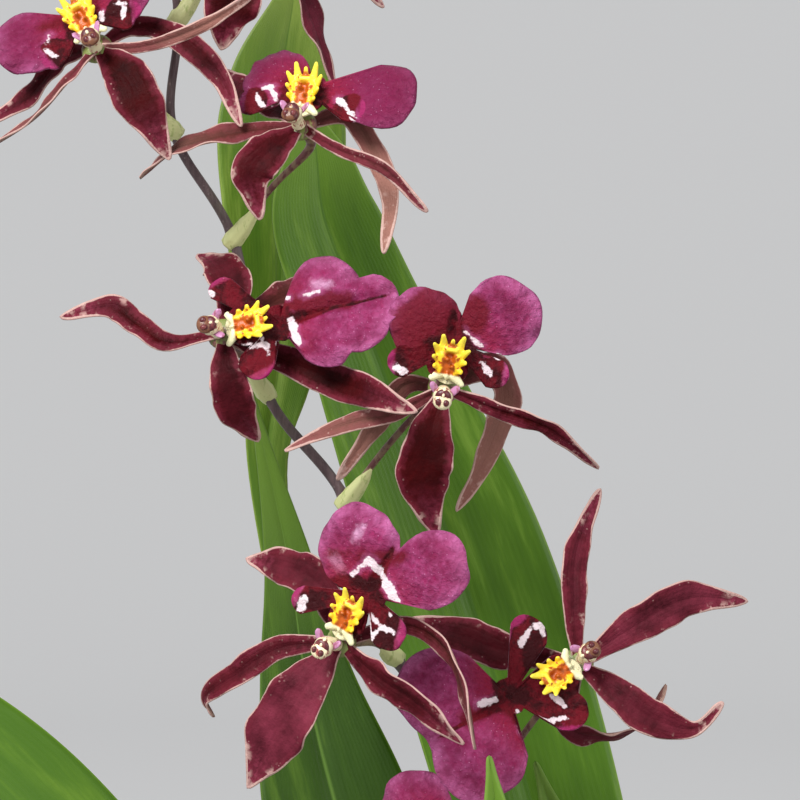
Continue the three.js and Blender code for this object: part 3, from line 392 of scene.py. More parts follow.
# Each tepal's own shade, by bloom: dorsal sepal, petals and lateral sepals
TONES = {
    2: (0.45, 0.3, 0.3, 0.4, 0.1),
    3: (0.55, 0.15, 0.1, 0.25, -0.1),
    4: (0.0, -0.45, 0.0, -0.9, -0.8),
    5: (0.0, 0.15, 0.1, -0.2, 0.0),
    6: (0.05, -0.35, -0.1, 0.2, -1.0),
    7: (0.0, -0.3, -0.8, 0.1, 0.05),
    8: (0.0, 0.0, 0.2, -0.8, 0.5),
}

SPIKE_FOOT = ((-11, -20, SEAT_LEVEL), (-11, -21, 160), (-15, -22, 220), (-22, -22, 262))
SPIKE_JOINTS = (
    (-34.4, -22, 283), (-24.7, -22, 302.5), (-42.9, -22, 326.5), (-52.3, -22, 356), (-67.3, -23, 376.5),
    (-73.5, -24, 405.5), (-84.8, -25, 426), (-83.8, -26, 447), (-87, -26, 469), (-84, -26, 488),
    (-88, -26, 503), (-86, -26, 514),
)

# Buds: joint, foot and tip of each, and its greatest half width
BUDS = (
    (9, (-74, -31, 499), (-68.5, -36, 514), 4.4),
    (10, (-95.5, -31, 512), (-99.5, -35, 525), 3.8),
    (11, (-86.5, -27, 519), (-88.5, -29, 530), 2.8),
)

# Pseudobulbs: foot, flat top, broad and narrow half widths, and turn about the vertical in degrees
BULBS = (
    ((12, -3, 97), (9, 1, 178), (20, 11.5), 12),
    ((-15, 17, 97), (-14, 13, 172), (17.5, 10), -20),
    ((-36, -5, 98), (-36, -3, 166), (15, 9.5), 55),
    ((36, 14, 98), (34, 9, 158), (15, 9.5), -50),
)
ROOTS = (
    ((8, -6, 102), (-6, -28, 106.5), (-22, -42, 104)),
    ((20, -4, 102), (38, -20, 106.5), (40, -36, 104)),
    ((-36, -8, 102), (-44, -22, 106), (-42, -34, 104)),
    ((36, 18, 102), (34, 34, 106), (20, 46, 104)),
)


# Curves

def between(padded: Numbers, share: Numbers) -> Numbers:
    """Points between the knots of a smooth curve.

    Args:
        padded: the knots, one a row, with one more row before the first and after the last.
        share: how far along the curve each point lies, from 0 to 1.

    Returns:
        The points, one a row.
    """
    spans = len(padded) - 3
    place = np.clip(share, 0, 1) * spans
    first = np.minimum(place.astype(int), spans - 1)
    x = (place - first)[:, None]
    before, start, end, after = (padded[first + step] for step in range(4))
    leave = (end - before) / 2
    arrive = (after - start) / 2
    squared = 3 * (end - start) - 2 * leave - arrive
    cubed = 2 * (start - end) + leave + arrive
    return start + leave * x + squared * x**2 + cubed * x**3


def curve_at(knots: Sequence[Sequence[float]], share: Numbers) -> Numbers:
    """Points on the smooth curve through knots in space.

    Args:
        knots: the points that the curve runs through.
        share: how far along the curve each point lies, from 0 to 1.

    Returns:
        The points, one a row.
    """
    rows = np.asarray(knots, dtype=float)
    first = 2 * rows[0] - rows[1]
    last = 2 * rows[-1] - rows[-2]
    return between(np.vstack([first, rows, last]), share)


def width_at(widths: Sequence[float], share: Numbers) -> Numbers:
    """Widths on the smooth line through the stations' widths, at shares of its length."""
    rows = np.asarray(widths, dtype=float)[:, None]
    return between(np.vstack([rows[:1], rows, rows[-1:]]), share)[:, 0]


def unit(rows: Numbers) -> Numbers:
    """Rows scaled to length 1."""
    return rows / np.maximum(np.linalg.norm(rows, axis=-1, keepdims=True), 1e-12)


def smooth_step(values: Numbers, low: float, high: float) -> Numbers:
    """Values eased from 0 at low to 1 at high."""
    share = np.clip((values - low) / (high - low), 0, 1)
    return share * share * (3 - 2 * share)


def bell(values: Numbers, middle: float, spread: float | Numbers) -> Numbers:
    """A soft bell of height 1 round middle."""
    return np.exp(-(((values - middle) / spread) ** 2))


def travel_along(points: Numbers) -> Numbers:
    """How far along a path each of its points lies."""
    return np.concatenate([[0.0], np.cumsum(np.linalg.norm(np.diff(points, axis=0), axis=1))])


def steady(size: float) -> Radius:
    """A radius that is the same all along."""
    return lambda share, angle: np.full(len(share), float(size))


def tapering(thick: float, thin: float) -> Radius:
    """A radius that runs evenly from thick to thin."""
    return lambda share, angle: thick + (thin - thick) * share


class Rail:
    """Frames carried without twist along a smooth curve, then turned about it."""

    STEPS = 240
    NUDGE = 1e-4

    def __init__(
        self, knots: Sequence[Sequence[float]], facing: Sequence[float], roll: tuple[float, float] = (0, 0)
    ) -> None:
        """Works out the frames.

        Args:
            knots: the points that the curve runs through.
            facing: the way that the first frame's upper side looks.
            roll: the turn about the curve in degrees, at its start and its end.
        """
        self.shares = np.linspace(0, 1, self.STEPS + 1)
        self.centres = curve_at(knots, self.shares)
        ahead = curve_at(knots, np.clip(self.shares + self.NUDGE, 0, 1))
        behind = curve_at(knots, np.clip(self.shares - self.NUDGE, 0, 1))
        self.tangents = unit(ahead - behind)
        self.travel = travel_along(self.centres)
        carried = np.asarray(facing, dtype=float)
        ups = np.empty_like(self.tangents)
        for row, tangent in enumerate(self.tangents):
            carried = unit(carried - carried.dot(tangent) * tangent)
            ups[row] = carried
        angle = np.radians(roll[0] + (roll[1] - roll[0]) * self.shares)[:, None]
        self.ups = ups * np.cos(angle) + np.cross(self.tangents, ups) * np.sin(angle)
        self.acrosses = np.cross(self.tangents, self.ups)

    def look_up(self, table: Numbers, share: Numbers) -> Numbers:
        """Values of one of the rail's tables at any shares.

        Args:
            table: the table, one row for each of the rail's steps.
            share: how far along the curve each value is taken, from 0 to 1.

        Returns:
            The values, one a row.
        """
        if table.ndim == 1:
            return np.interp(share, self.shares, table)
        return np.stack([np.interp(share, self.shares, column) for column in table.T], axis=1)

    def beside(self, share: Numbers, across: Numbers, up: Numbers) -> Numbers:
        """Points beside the curve, from how far along it, to its side and above it each lies."""
        sideways = self.look_up(self.acrosses, share) * across[:, None]
        return self.look_up(self.centres, share) + sideways + self.look_up(self.ups, share) * up[:, None]


# Meshes

def deselect() -> None:
    """Leaves nothing selected."""
    bpy.ops.object.select_all(action="DESELECT")


def activate(piece: Object) -> None:
    """Selects one piece alone and makes it the active one.

    Args:
        piece: the piece.
    """
    deselect()
    piece.select_set(True)
    bpy.context.view_layer.objects.active = piece


def edit(piece: Object, *steps: Callable[[], object]) -> None:
    """Runs steps in edit mode on all of a piece.

    Args:
        piece: the piece.
        steps: what is done to it, in turn.
    """
    activate(piece)
    bpy.ops.object.mode_set(mode="EDIT")
    bpy.ops.mesh.select_all(action="SELECT")
    for step in steps:
        step()
    bpy.ops.object.mode_set(mode="OBJECT")


def merge_doubles() -> None:
    """Merges the points of the mesh in edit mode that lie on one another."""
    bpy.ops.mesh.remove_doubles(threshold=MERGE_METRES)


def close_seams(piece: Object) -> None:
    """Merges the doubled points of a closed piece and turns its faces outwards."""
    edit(piece, merge_doubles, lambda: bpy.ops.mesh.normals_make_consistent(inside=False))


def copy_of(piece: Object) -> Object:
    """A copy of a piece with a mesh of its own.

    Args:
        piece: the piece.

    Returns:
        The copy.
    """
    copy = piece.copy()
    copy.data = piece.data.copy()
    bpy.context.collection.objects.link(copy)
    return copy


def discard(*pieces: Object) -> None:
    """Takes pieces that are no longer needed out of the file."""
    for piece in pieces:
        bpy.data.objects.remove(piece, do_unlink=True)


def points_of(piece: Object) -> Numbers:
    """A piece's points, one a row.

    Args:
        piece: the piece.

    Returns:
        The points, in metres.
    """
    flat = np.empty(3 * len(piece.data.vertices))
    piece.data.vertices.foreach_get("co", flat)
    return flat.reshape(-1, 3)


def laid_out(sheet: Object) -> tuple[Numbers, Numbers]:
    """A sheet's points as shares of its length, from 0 to 1, and places across it, from -1 to 1."""
    flat = points_of(sheet)
    return (flat[:, 0] + 1) / 2, flat[:, 1]


def set_points(piece: Object, places: Numbers) -> None:
    """Puts a piece's points where they are given in millimetres, one a row."""
    piece.data.vertices.foreach_set("co", np.ascontiguousarray(places * MM).ravel())
    piece.data.update()


def note(piece: Object, **notes: float | Numbers) -> None:
    """Keeps numbers or places for each point of a piece, for its materials to read.

    Args:
        piece: the piece.
        notes: by name, one number for all points, or one number or one row of three for each.
    """
    for name, values in notes.items():
        rows = np.asarray(values, dtype=np.float32)
        if rows.ndim == 0:
            rows = np.full(len(piece.data.vertices), rows)
        kind, field = ("FLOAT", "value") if rows.ndim == 1 else ("FLOAT_VECTOR", "vector")
        layer = piece.data.attributes.new(name, kind, "POINT")
        layer.data.foreach_set(field, np.ascontiguousarray(rows).ravel())


def dress(piece: Object, *materials: Material) -> None:
    """Adds finishes to a piece."""
    for material in materials:
        piece.data.materials.append(material)


def add_modifier(piece: Object, kind: str, **settings: object) -> None:
    """Adds a modifier to a piece and applies it.

    Args:
        piece: the piece.
        kind: the modifier's kind.
        settings: its settings.
    """
    modifier = piece.modifiers.new(kind, kind)
    for name, value in settings.items():
        setattr(modifier, name, value)
    activate(piece)
    bpy.ops.object.modifier_apply(modifier=modifier.name)


def smooth(piece: Object) -> None:
    """Shades a piece smoothly."""
    activate(piece)
    bpy.ops.object.shade_smooth()


def smooth_below(piece: Object, degrees: float) -> None:
    """Shades a piece smoothly, but for edges sharper than an angle."""
    activate(piece)
    bpy.ops.object.shade_smooth_by_angle(angle=math.radians(degrees))


def add_wall(piece: Object, thickness: float, **settings: object) -> None:
    """Gives a sheet a wall to both sides of it, by its thickness and other settings, and smooths it."""
    add_modifier(piece, "SOLIDIFY", thickness=thickness * MM, offset=0, **settings)
    smooth(piece)


def join(pieces: Sequence[Object]) -> Object:
    """Joins pieces in the first of them, which it returns.

    Args:
        pieces: the pieces.

    Returns:
        The first piece, which is now all of them.
    """
    activate(pieces[0])
    for piece in pieces[1:]:
        piece.select_set(True)
    bpy.ops.object.join()
    return pieces[0]


def mount(piece: Object, name: str, slot: Slot, *nodes: str) -> None:
    """Names a finished piece, hangs it on the body and lets it stand for its nodes.

    Args:
        piece: the finished piece.
        name: its name.
        slot: the material slot for its finish; not used.
        nodes: the nodes that it stands for.
    """
    piece.name = name
    piece.data.name = name
    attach(piece, BODY)
    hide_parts(*nodes)
    log.info("%s: %d faces for %s", name, len(piece.data.polygons), ", ".join(nodes))


@dataclass(frozen=True)
class Setting:
    """A bloom's own frame: its centre, and its axes across, towards the lip and out of the face."""

    heart: Numbers
    axes: Numbers

    @classmethod
    def of(cls, plan: BloomPlan) -> "Setting":
        """The frame of a bloom, from its yaw, pitch and roll.

        Args:
            plan: the bloom's plan.

        Returns:
            The frame.
        """
        yaw, pitch, roll = np.radians(plan.turn)
        out = np.array([math.sin(yaw) * math.cos(pitch), -math.cos(yaw) * math.cos(pitch), math.sin(pitch)])
        level = np.array([math.cos(yaw), math.sin(yaw), 0.0])
        side = level * math.cos(-roll) + np.cross(out, level) * math.sin(-roll)
        return cls(np.asarray(plan.heart, dtype=float), np.stack([side, np.cross(out, side), out]))

    def place(self, local: Numbers) -> Numbers:
        """Points given across, lipwards and outwards, as points of the whole plant."""
        return self.heart + local @ self.axes


WHOLE_PLANT = Setting(np.zeros(3), np.eye(3))


@dataclass(frozen=True)
class Cut:
    """How a blade is cut: its channel, edges, midrib, wall and mesh."""

    keel: float
    wave: float = 0.0
    ripple: float = 0.5
    ripples: float = 6.0
    midrib: float = 0.2
    midrib_spread: float = 0.5
    thickness: float = 0.6
    rim_share: float = 0.4
    rows: int = 44
    columns: int = 14
    tip_start: float = 0.92
    crowding: float = 1.35
    coarse_waves: float = 2.4
    tip_width: float = 0.0
    raggedness: float = 0.0
    fullness: float = 0.0

    def half_width(self, widths: Sequence[float], share: Numbers, across: Numbers, seed: float) -> Numbers:
        """The half width of a blade at each point, with its rounded tip and ragged outline.

        Args:
            widths: the stations' widths.
            share: how far along the blade each point lies, from 0 to 1.
            across: how far across it, from -1 to 1.
            seed: shifts the ragged outline.

        Returns:
            The half widths.
        """
        ended = [*widths[:-1], max(widths[-1], self.tip_width)]
        width = width_at(ended, share) * (1 + self.fullness * bell(share, 0.8, 0.1))
        closing = np.clip((share - self.tip_start) / (1 - self.tip_start), 0, 1)
        half = width / 2 * np.sqrt(np.clip(1 - closing**2, 0, 1))
        side = np.sign(across) * 1.7
        broad = np.sin(FULL_TURN * (2.6 * share + seed) + side)
        fine = np.sin(FULL_TURN * 6.1 * share + 3 * side)
        return half * (1 + self.raggedness * (broad + 0.6 * fine))

    def height(self, half: Numbers, share: Numbers, across: Numbers, seed: float) -> Numbers:
        """How far each point of a blade stands out of its rail: the channel, waves, ripples and midrib.

        Args:
            half: the blade's half width at each point.
            share: how far along the blade each point lies, from 0 to 1.
            across: how far across it, from -1 to 1.
            seed: shifts the ripples.

        Returns:
            The heights.
        """
        phase = FULL_TURN * self.coarse_waves * share
        coarse = np.where(across < 0, np.sin(phase), np.cos(phase))
        fine = np.sin(FULL_TURN * (self.ripples * share + seed) + np.sign(across) * 1.3)
        steep = np.abs(across) ** 3
        fading = np.sin(np.pi * np.clip(share * 1.05, 0, 1)) ** 0.5
        channel = half * (self.keel * np.abs(across) ** 1.5 + self.wave * coarse * steep)
        rippled = channel + self.ripple * fine * steep * fading * np.minimum(half / 3, 1)
        return rippled - self.midrib * bell(across * half, 0, self.midrib_spread) * fading


class Bench:
    """Where pieces are modelled: sheets and discs, made once and copied, and what is shaped from them."""

    def __init__(self) -> None:
        """Starts with an empty bench."""
        self.patterns: dict[tuple[str, int, int], Object] = {}

    def sheet(self, rows: int, columns: int) -> Object:
        """A flat sheet from -1 to 1 along X and Y.

        Args:
            rows: its cells along X.
            columns: its cells along Y.

        Returns:
            A copy of the sheet.
        """
        key = ("sheet", rows, columns)
        if key not in self.patterns:
            deselect()
            bpy.ops.mesh.primitive_grid_add(x_subdivisions=rows, y_subdivisions=columns, size=2)
            self.patterns[key] = bpy.context.object
        return copy_of(self.patterns[key])

    def disc(self, rays: int, rings: int) -> Object:
        """A flat disc of radius 1: a circle whose rim is extruded inwards ring by ring.

        Args:
            rays: its cells round the rim.
            rings: its cells from the middle to the rim.

        Returns:
            A copy of the disc.
        """
        key = ("disc", rays, rings)
        if key not in self.patterns:
            deselect()
            bpy.ops.mesh.primitive_circle_add(vertices=rays, radius=1, fill_type="NOTHING")
            disc = bpy.context.object
            bpy.ops.object.mode_set(mode="EDIT")
            bpy.ops.mesh.select_all(action="SELECT")
            for ring in range(rings, 1, -1):
                bpy.ops.mesh.extrude_edges_move()
                share = (ring - 1) / ring
                bpy.ops.transform.resize(value=(share, share, share), center_override=(0, 0, 0))
            bpy.ops.mesh.extrude_edges_move()
            bpy.ops.mesh.merge(type="CENTER")
            bpy.ops.object.mode_set(mode="OBJECT")
            if disc.data.polygons[0].normal.z < 0:
                edit(disc, bpy.ops.mesh.flip_normals)
            self.patterns[key] = disc
        return copy_of(self.patterns[key])

    def blade(
        self, blade: Blade, facing: Sequence[float], cut: Cut, materials: Sequence[Material],
        setting: Setting = WHOLE_PLANT, seed: float = 0.0, tone: float = 0.0,
    ) -> Object:
        """Makes a blade: a sheet bent along a rail, with waved edges, a midrib and a thin rim.

        Args:
            blade: its stations and turn.
            facing: the way its upper side looks at the base.
            cut: how it is cut.
            materials: the finish of its upper side and of its back.
            setting: the frame that its stations are given in.
            seed: shifts its ripples and patterns, so that no two blades are alike.
            tone: its own shade, from -1 to 1.

        Returns:
            The blade, closed and dressed.
        """
        piece = self.sheet(cut.rows, cut.columns)
        even, side = laid_out(piece)
        share = 1 - (1 - even) ** cut.crowding
        across = -side
        rail = Rail([station[:3] for station in blade.stations], facing, blade.roll)
        half = cut.half_width([station[3] for station in blade.stations], share, across, seed)
        places = rail.beside(share, across * half, cut.height(half, share, across, seed))
        set_points(piece, setting.place(places))
        travel = rail.look_up(rail.travel, share)
        edge = np.minimum(half * (1 - np.abs(across)), 0.7 * (rail.travel[-1] - travel))
        plan = np.stack([across * half, travel, np.full(len(share), 40 * seed)], axis=1)
        note(piece, across=across, along=share, edge=edge, tone=tone, plan=plan)
        edit(piece, merge_doubles)
        dress(piece, *materials)
        self.thin_the_rim(piece)
        add_wall(
            piece, cut.thickness, vertex_group="body", thickness_vertex_group=cut.rim_share, material_offset=1
        )
        return piece

    @staticmethod
    def thin_the_rim(piece: Object) -> None:
        """Marks how near to the full wall each point of a blade is, less towards its rim.

        Args:
            piece: the blade, still a sheet.
        """
        across = np.empty(len(piece.data.vertices))
        piece.data.attributes["across"].data.foreach_get("value", across)
        group = piece.vertex_groups.new(name="body")
        for index, weight in enumerate(np.clip(1 - np.abs(across) ** 2.5, 0, 1)):
            group.add([index], float(weight), "REPLACE")

    def tube(
        self, knots: Sequence[Sequence[float]], radius: Radius, material: Material, rows: int = 24,
        columns: int = 16, facing: Sequence[float] = TOWARDS_VIEWER, breadth: float = 1.0,
        ends: tuple[float, float] = (0.02, 0.02), setting: Setting = WHOLE_PLANT,
    ) -> Object:
        """Makes a stalk, bulb or root: a sheet wrapped round a rail and closed at both ends.

        Args:
            knots: the points that it runs through.
            radius: its radius from the share of its length and the angle round it.
            material: its finish.
            rows: its cells along.
            columns: its cells round.
            facing: the way that its narrow side looks.
            breadth: how much wider than deep it is.
            ends: the shares of its length over which each end is rounded.
            setting: the frame that its knots are given in.

        Returns:
            The tube, closed and dressed.
        """
        piece = self.sheet(rows, columns)
        even, round_it = laid_out(piece)
        lead = min(0.3, 4 / rows)
        share = np.interp(even, [0, lead, 1 - lead, 1], [0, ends[0], 1 - ends[1], 1])
        angle = np.pi * (round_it + 1)
        rail = Rail(knots, facing)
        closing = np.ones(len(share))
        for near, end in zip((share, 1 - share), ends):
            closing = closing * np.sqrt(np.clip(1 - (1 - np.clip(near / end, 0, 1)) ** 2, 0, 1))
        size = radius(share, angle) * closing
        places = rail.beside(share, size * breadth * np.cos(angle), size * np.sin(angle))
        set_points(piece, setting.place(places))
        dress(piece, material)
        close_seams(piece)
        smooth(piece)
        return piece

    def clear(self) -> None:
        """Takes the patterns off the bench."""
        discard(*self.patterns.values())
        self.patterns.clear()


# Shaders

class Shader:
    """A node tree being wired: a material's own, or a shared effect's."""

    def __init__(self, tree: bpy.types.NodeTree) -> None:
        """Starts on a node tree."""
        self.tree = tree

    def node(self, kind: str, **settings: object) -> bpy.types.Node:
        """Adds a node.

        Args:
            kind: its kind, without the word that starts every shader node's.
            settings: its properties.

        Returns:
            The node.
        """
        node = self.tree.nodes.new(kind if kind.startswith("NodeGroup") else f"ShaderNode{kind}")
        for name, value in settings.items():
            setattr(node, name, value)
        return node

    def feed(self, socket: Socket, value: object) -> None:
        """Links a socket to another, or sets its value.

        Args:
            socket: the socket that is fed.
            value: another socket, a number, a place or a colour.
        """
        if isinstance(value, bpy.types.NodeSocket):
            self.tree.links.new(value, socket)
        elif socket.type == "RGBA" and len(value) == 3:
            socket.default_value = (*value, 1.0)
        else:
            socket.default_value = value

    def fed(self, kind: str, inputs: dict[str | int, object], **settings: object) -> bpy.types.Node:
        """Adds a node and feeds it.

        Args:
            kind: its kind.
            inputs: what each input is given, by its name or number.
            settings: its properties.

        Returns:
            The node.
        """
        node = self.node(kind, **settings)
        for name, value in inputs.items():
            self.feed(node.inputs[name], value)
        return node

    def math(self, operation: str, *values: object, clamp: bool = False) -> Socket:
        """The result of a Math node, for which numbers and sockets are given in turn."""
        return self.fed("Math", dict(enumerate(values)), operation=operation, use_clamp=clamp).outputs[0]

    def times(self, first: object, second: object) -> Socket:
        """A product, kept from 0 to 1."""
        return self.math("MULTIPLY", first, second, clamp=True)

    def span(self, value: object, low: object, high: object) -> Socket:
        """A value eased from 0 at low to 1 at high, which may be the smaller of the two."""
        inputs = {"Value": value, "From Min": low, "From Max": high}
        return self.fed("MapRange", inputs, interpolation_type="SMOOTHSTEP", clamp=True).outputs["Result"]

    def mix(self, share: object, first: object, second: object) -> Socket:
        """A colour mixed from two."""
        inputs = {0: share, 6: first, 7: second}
        return self.fed("Mix", inputs, data_type="RGBA", clamp_factor=True).outputs[2]

    def tint(self, colour: object, towards: object, mask: object, strength: object) -> Socket:
        """A colour drawn towards another where a mask is, by its strength."""
        return self.mix(self.times(mask, strength), colour, towards)

    def noise(self, place: Socket, scale: object, detail: float = 3.0, roughness: float = 0.5) -> Socket:
        """Noise from 0 to 1, with finer layers as detailed and as strong as is given."""
        inputs = {"Vector": place, "Scale": scale, "Detail": detail, "Roughness": roughness}
        return self.fed("TexNoise", inputs).outputs["Fac"]

    def sway(self, place: Socket, scale: object, detail: float = 3.0, roughness: float = 0.6) -> Socket:
        """Noise that sways round 0."""
        return self.math("SUBTRACT", self.noise(place, scale, detail, roughness), 0.5)

    def read(self, name: str, output: str = "Fac") -> Socket:
        """A number that the piece keeps for each of its points."""
        return self.node("Attribute", attribute_name=name).outputs[output]

    def read_place(self, name: str) -> Socket:
        """A place that the piece keeps for each of its points."""
        return self.read(name, "Vector")

    def place(self, scale: Triple = (1000.0, 1000.0, 1000.0), source: Socket | None = None) -> Socket:
        """A place on the object in millimetres, or another place scaled.

        Args:
            scale: how much it is scaled along each axis.
            source: the place that is scaled, or none for the object's own.

        Returns:
            The scaled place.
        """
        if source is None:
            source = self.node("TexCoord").outputs["Object"]
        return self.fed("Mapping", {"Vector": source, "Scale": scale}).outputs["Vector"]

    def split(self, place: Socket) -> list[Socket]:
        """The three parts of a place."""
        return list(self.fed("SeparateXYZ", {0: place}).outputs)

    def effect(self, name: str, **values: object) -> Socket:
        """The output of a shared effect, with its named inputs given."""
        return self.fed("Group", values, node_tree=bpy.data.node_groups[name]).outputs[0]

    def mottle(self, place: Socket, scale: float, contrast: float) -> Socket:
        """Soft uneven patches of two sizes."""
        return self.effect("mottle", Place=place, Scale=scale, Contrast=contrast)

    def veins(self, place: Socket, across: Socket, count: float, thin: float, wobble: float) -> Socket:
        """Thin veins side by side, a little wavy: 1 on a vein."""
        return self.effect("veins", Place=place, Across=across, Count=count, Thin=thin, Wobble=wobble)

    def band(self, place: Socket, distance: Socket, width: object, soft: float, grain: float,
             jitter: float) -> Socket:
        """A band along a margin with an uneven inner edge: 1 at the margin."""
        values = {"Place": place, "Distance": distance, "Width": width, "Soft": soft}
        return self.effect("band", **values, Grain=grain, Jitter=jitter)

    def net(self, place: Socket, scale: float, width: float) -> Socket:
        """A net of fine veins: 1 on a vein."""
        return self.effect("net", Place=place, Scale=scale, Width=width)

    def specks(self, place: Socket, scale: float, amount: float) -> Socket:
        """Scattered small specks: 1 on a speck."""
        return self.effect("specks", Place=place, Scale=scale, Amount=amount)

    def relief(self, height: Socket, depth: float, over: Socket | None = None) -> Socket:
        """A normal that stands for fine relief.

        Args:
            height: the relief, from 0 to 1.
            depth: how deep it is, in millimetres.
            over: a normal that it lies over, if any.

        Returns:
            The normal.
        """
        inputs = {"Distance": depth * MM, "Height": height}
        if over is not None:
            inputs["Normal"] = over
        return self.fed("Bump", inputs).outputs["Normal"]

    def surface(self, **values: object) -> None:
        """Ends a material in a Principled surface, its inputs by name with underscores for blanks."""
        inputs = {name.replace("_", " "): value for name, value in values.items()}
        self.fed("OutputMaterial", {0: self.fed("BsdfPrincipled", inputs).outputs[0]})


class Effects:
    """The effects that several finishes share, each a node group made once."""

    def __init__(self) -> None:
        """Makes every shared effect."""
        self.make_mottle()
        self.make_veins()
        self.make_band()
        self.make_net()
        self.make_specks()

    @staticmethod
    def start(name: str, **inputs: float | None) -> tuple[Shader, Socket, Socket]:
        """Starts a node group.

        Args:
            name: the effect's name.
            inputs: each input's first value, or none for a place.

        Returns:
            Its shader, its inputs and the socket of its output.
        """
        tree = bpy.data.node_groups.new(name, "ShaderNodeTree")
        for label, value in inputs.items():
            kind = "NodeSocketVector" if value is None else "NodeSocketFloat"
            socket = tree.interface.new_socket(name=label, in_out="INPUT", socket_type=kind)
            if value is not None:
                socket.default_value = value
        tree.interface.new_socket(name="Mask", in_out="OUTPUT", socket_type="NodeSocketFloat")
        shader = Shader(tree)
        return shader, shader.node("NodeGroupInput").outputs, shader.node("NodeGroupOutput").inputs[0]

    def make_mottle(self) -> None:
        """Makes soft uneven patches of two sizes."""
        shader, given, result = self.start("mottle", Place=None, Scale=1.0, Contrast=1.0)
        broad = shader.noise(given["Place"], given["Scale"], 2.0)
        fine = shader.noise(given["Place"], shader.math("MULTIPLY", given["Scale"], 5.3), 4.0, 0.6)
        both = shader.math("ADD", shader.math("MULTIPLY", broad, 0.7), shader.math("MULTIPLY", fine, 0.3))
        spread = shader.math("MULTIPLY", shader.math("SUBTRACT", both, 0.5), given["Contrast"])
        shader.feed(result, shader.math("ADD", spread, 0.5, clamp=True))

    def make_veins(self) -> None:
        """Makes thin veins side by side, a little wavy."""
        shader, given, result = self.start("veins", Across=0.0, Count=8.0, Thin=3.0, Place=None, Wobble=0.1)
        sway = shader.sway(given["Place"], 0.25, 2.0, 0.5)
        shifted = shader.math("ADD", given["Across"], shader.math("MULTIPLY", sway, given["Wobble"]))
        angle = shader.math("MULTIPLY", shader.math("MULTIPLY", shifted, given["Count"]), math.pi)
        crest = shader.math("ABSOLUTE", shader.math("COSINE", angle))
        shader.feed(result, shader.math("POWER", crest, given["Thin"]))

    def make_band(self) -> None:
        """Makes a band along a margin with an uneven inner edge."""
        shader, given, result = self.start(
            "band", Distance=0.0, Width=0.5, Soft=0.2, Place=None, Grain=1.0, Jitter=0.3
        )
        grain = shader.sway(given["Place"], given["Grain"], 4.0)
        uneven = shader.math("ADD", given["Distance"], shader.math("MULTIPLY", grain, given["Jitter"]))
        outer = shader.math("ADD", given["Width"], given["Soft"])
        shader.feed(result, shader.span(uneven, outer, given["Width"]))

    def make_net(self) -> None:
        """Makes a net of fine veins."""
        shader, given, result = self.start("net", Place=None, Scale=1.0, Width=0.1)
        warp = shader.fed("TexNoise", {"Vector": given["Place"], "Scale": 0.6}).outputs["Color"]
        pushed = {0: warp, 1: (0.9, 0.9, 0.9), 2: given["Place"]}
        place = shader.fed("VectorMath", pushed, operation="MULTIPLY_ADD").outputs[0]
        inputs = {"Vector": place, "Scale": given["Scale"]}
        cells = shader.fed("TexVoronoi", inputs, feature="DISTANCE_TO_EDGE").outputs
        shader.feed(result, shader.span(cells["Distance"], given["Width"], 0.0))

    def make_specks(self) -> None:
        """Makes scattered small specks."""
        shader, given, result = self.start("specks", Place=None, Scale=1.0, Amount=0.2)
        cells = shader.fed("TexVoronoi", {"Vector": given["Place"], "Scale": given["Scale"]}).outputs
        first = shader.fed("SeparateColor", {0: cells["Color"]}).outputs[0]
        chosen = shader.math("LESS_THAN", first, given["Amount"])
        spot = shader.span(cells["Distance"], 0.34, 0.2)
        shader.feed(result, shader.math("MULTIPLY", chosen, spot))


@dataclass(frozen=True)
class Finish:
    """What every finish has: a name, and the making of its material."""

    name: str

    def make(self) -> Material:
        """Makes the material.

        Returns:
            The material.
        """
        material = bpy.data.materials.new(self.name)
        material.use_nodes = True
        material.node_tree.nodes.clear()
        self.paint(Shader(material.node_tree))
        return material

    def paint(self, shader: Shader) -> None:
        """Wires the material; each finish has its own way."""
        raise NotImplementedError


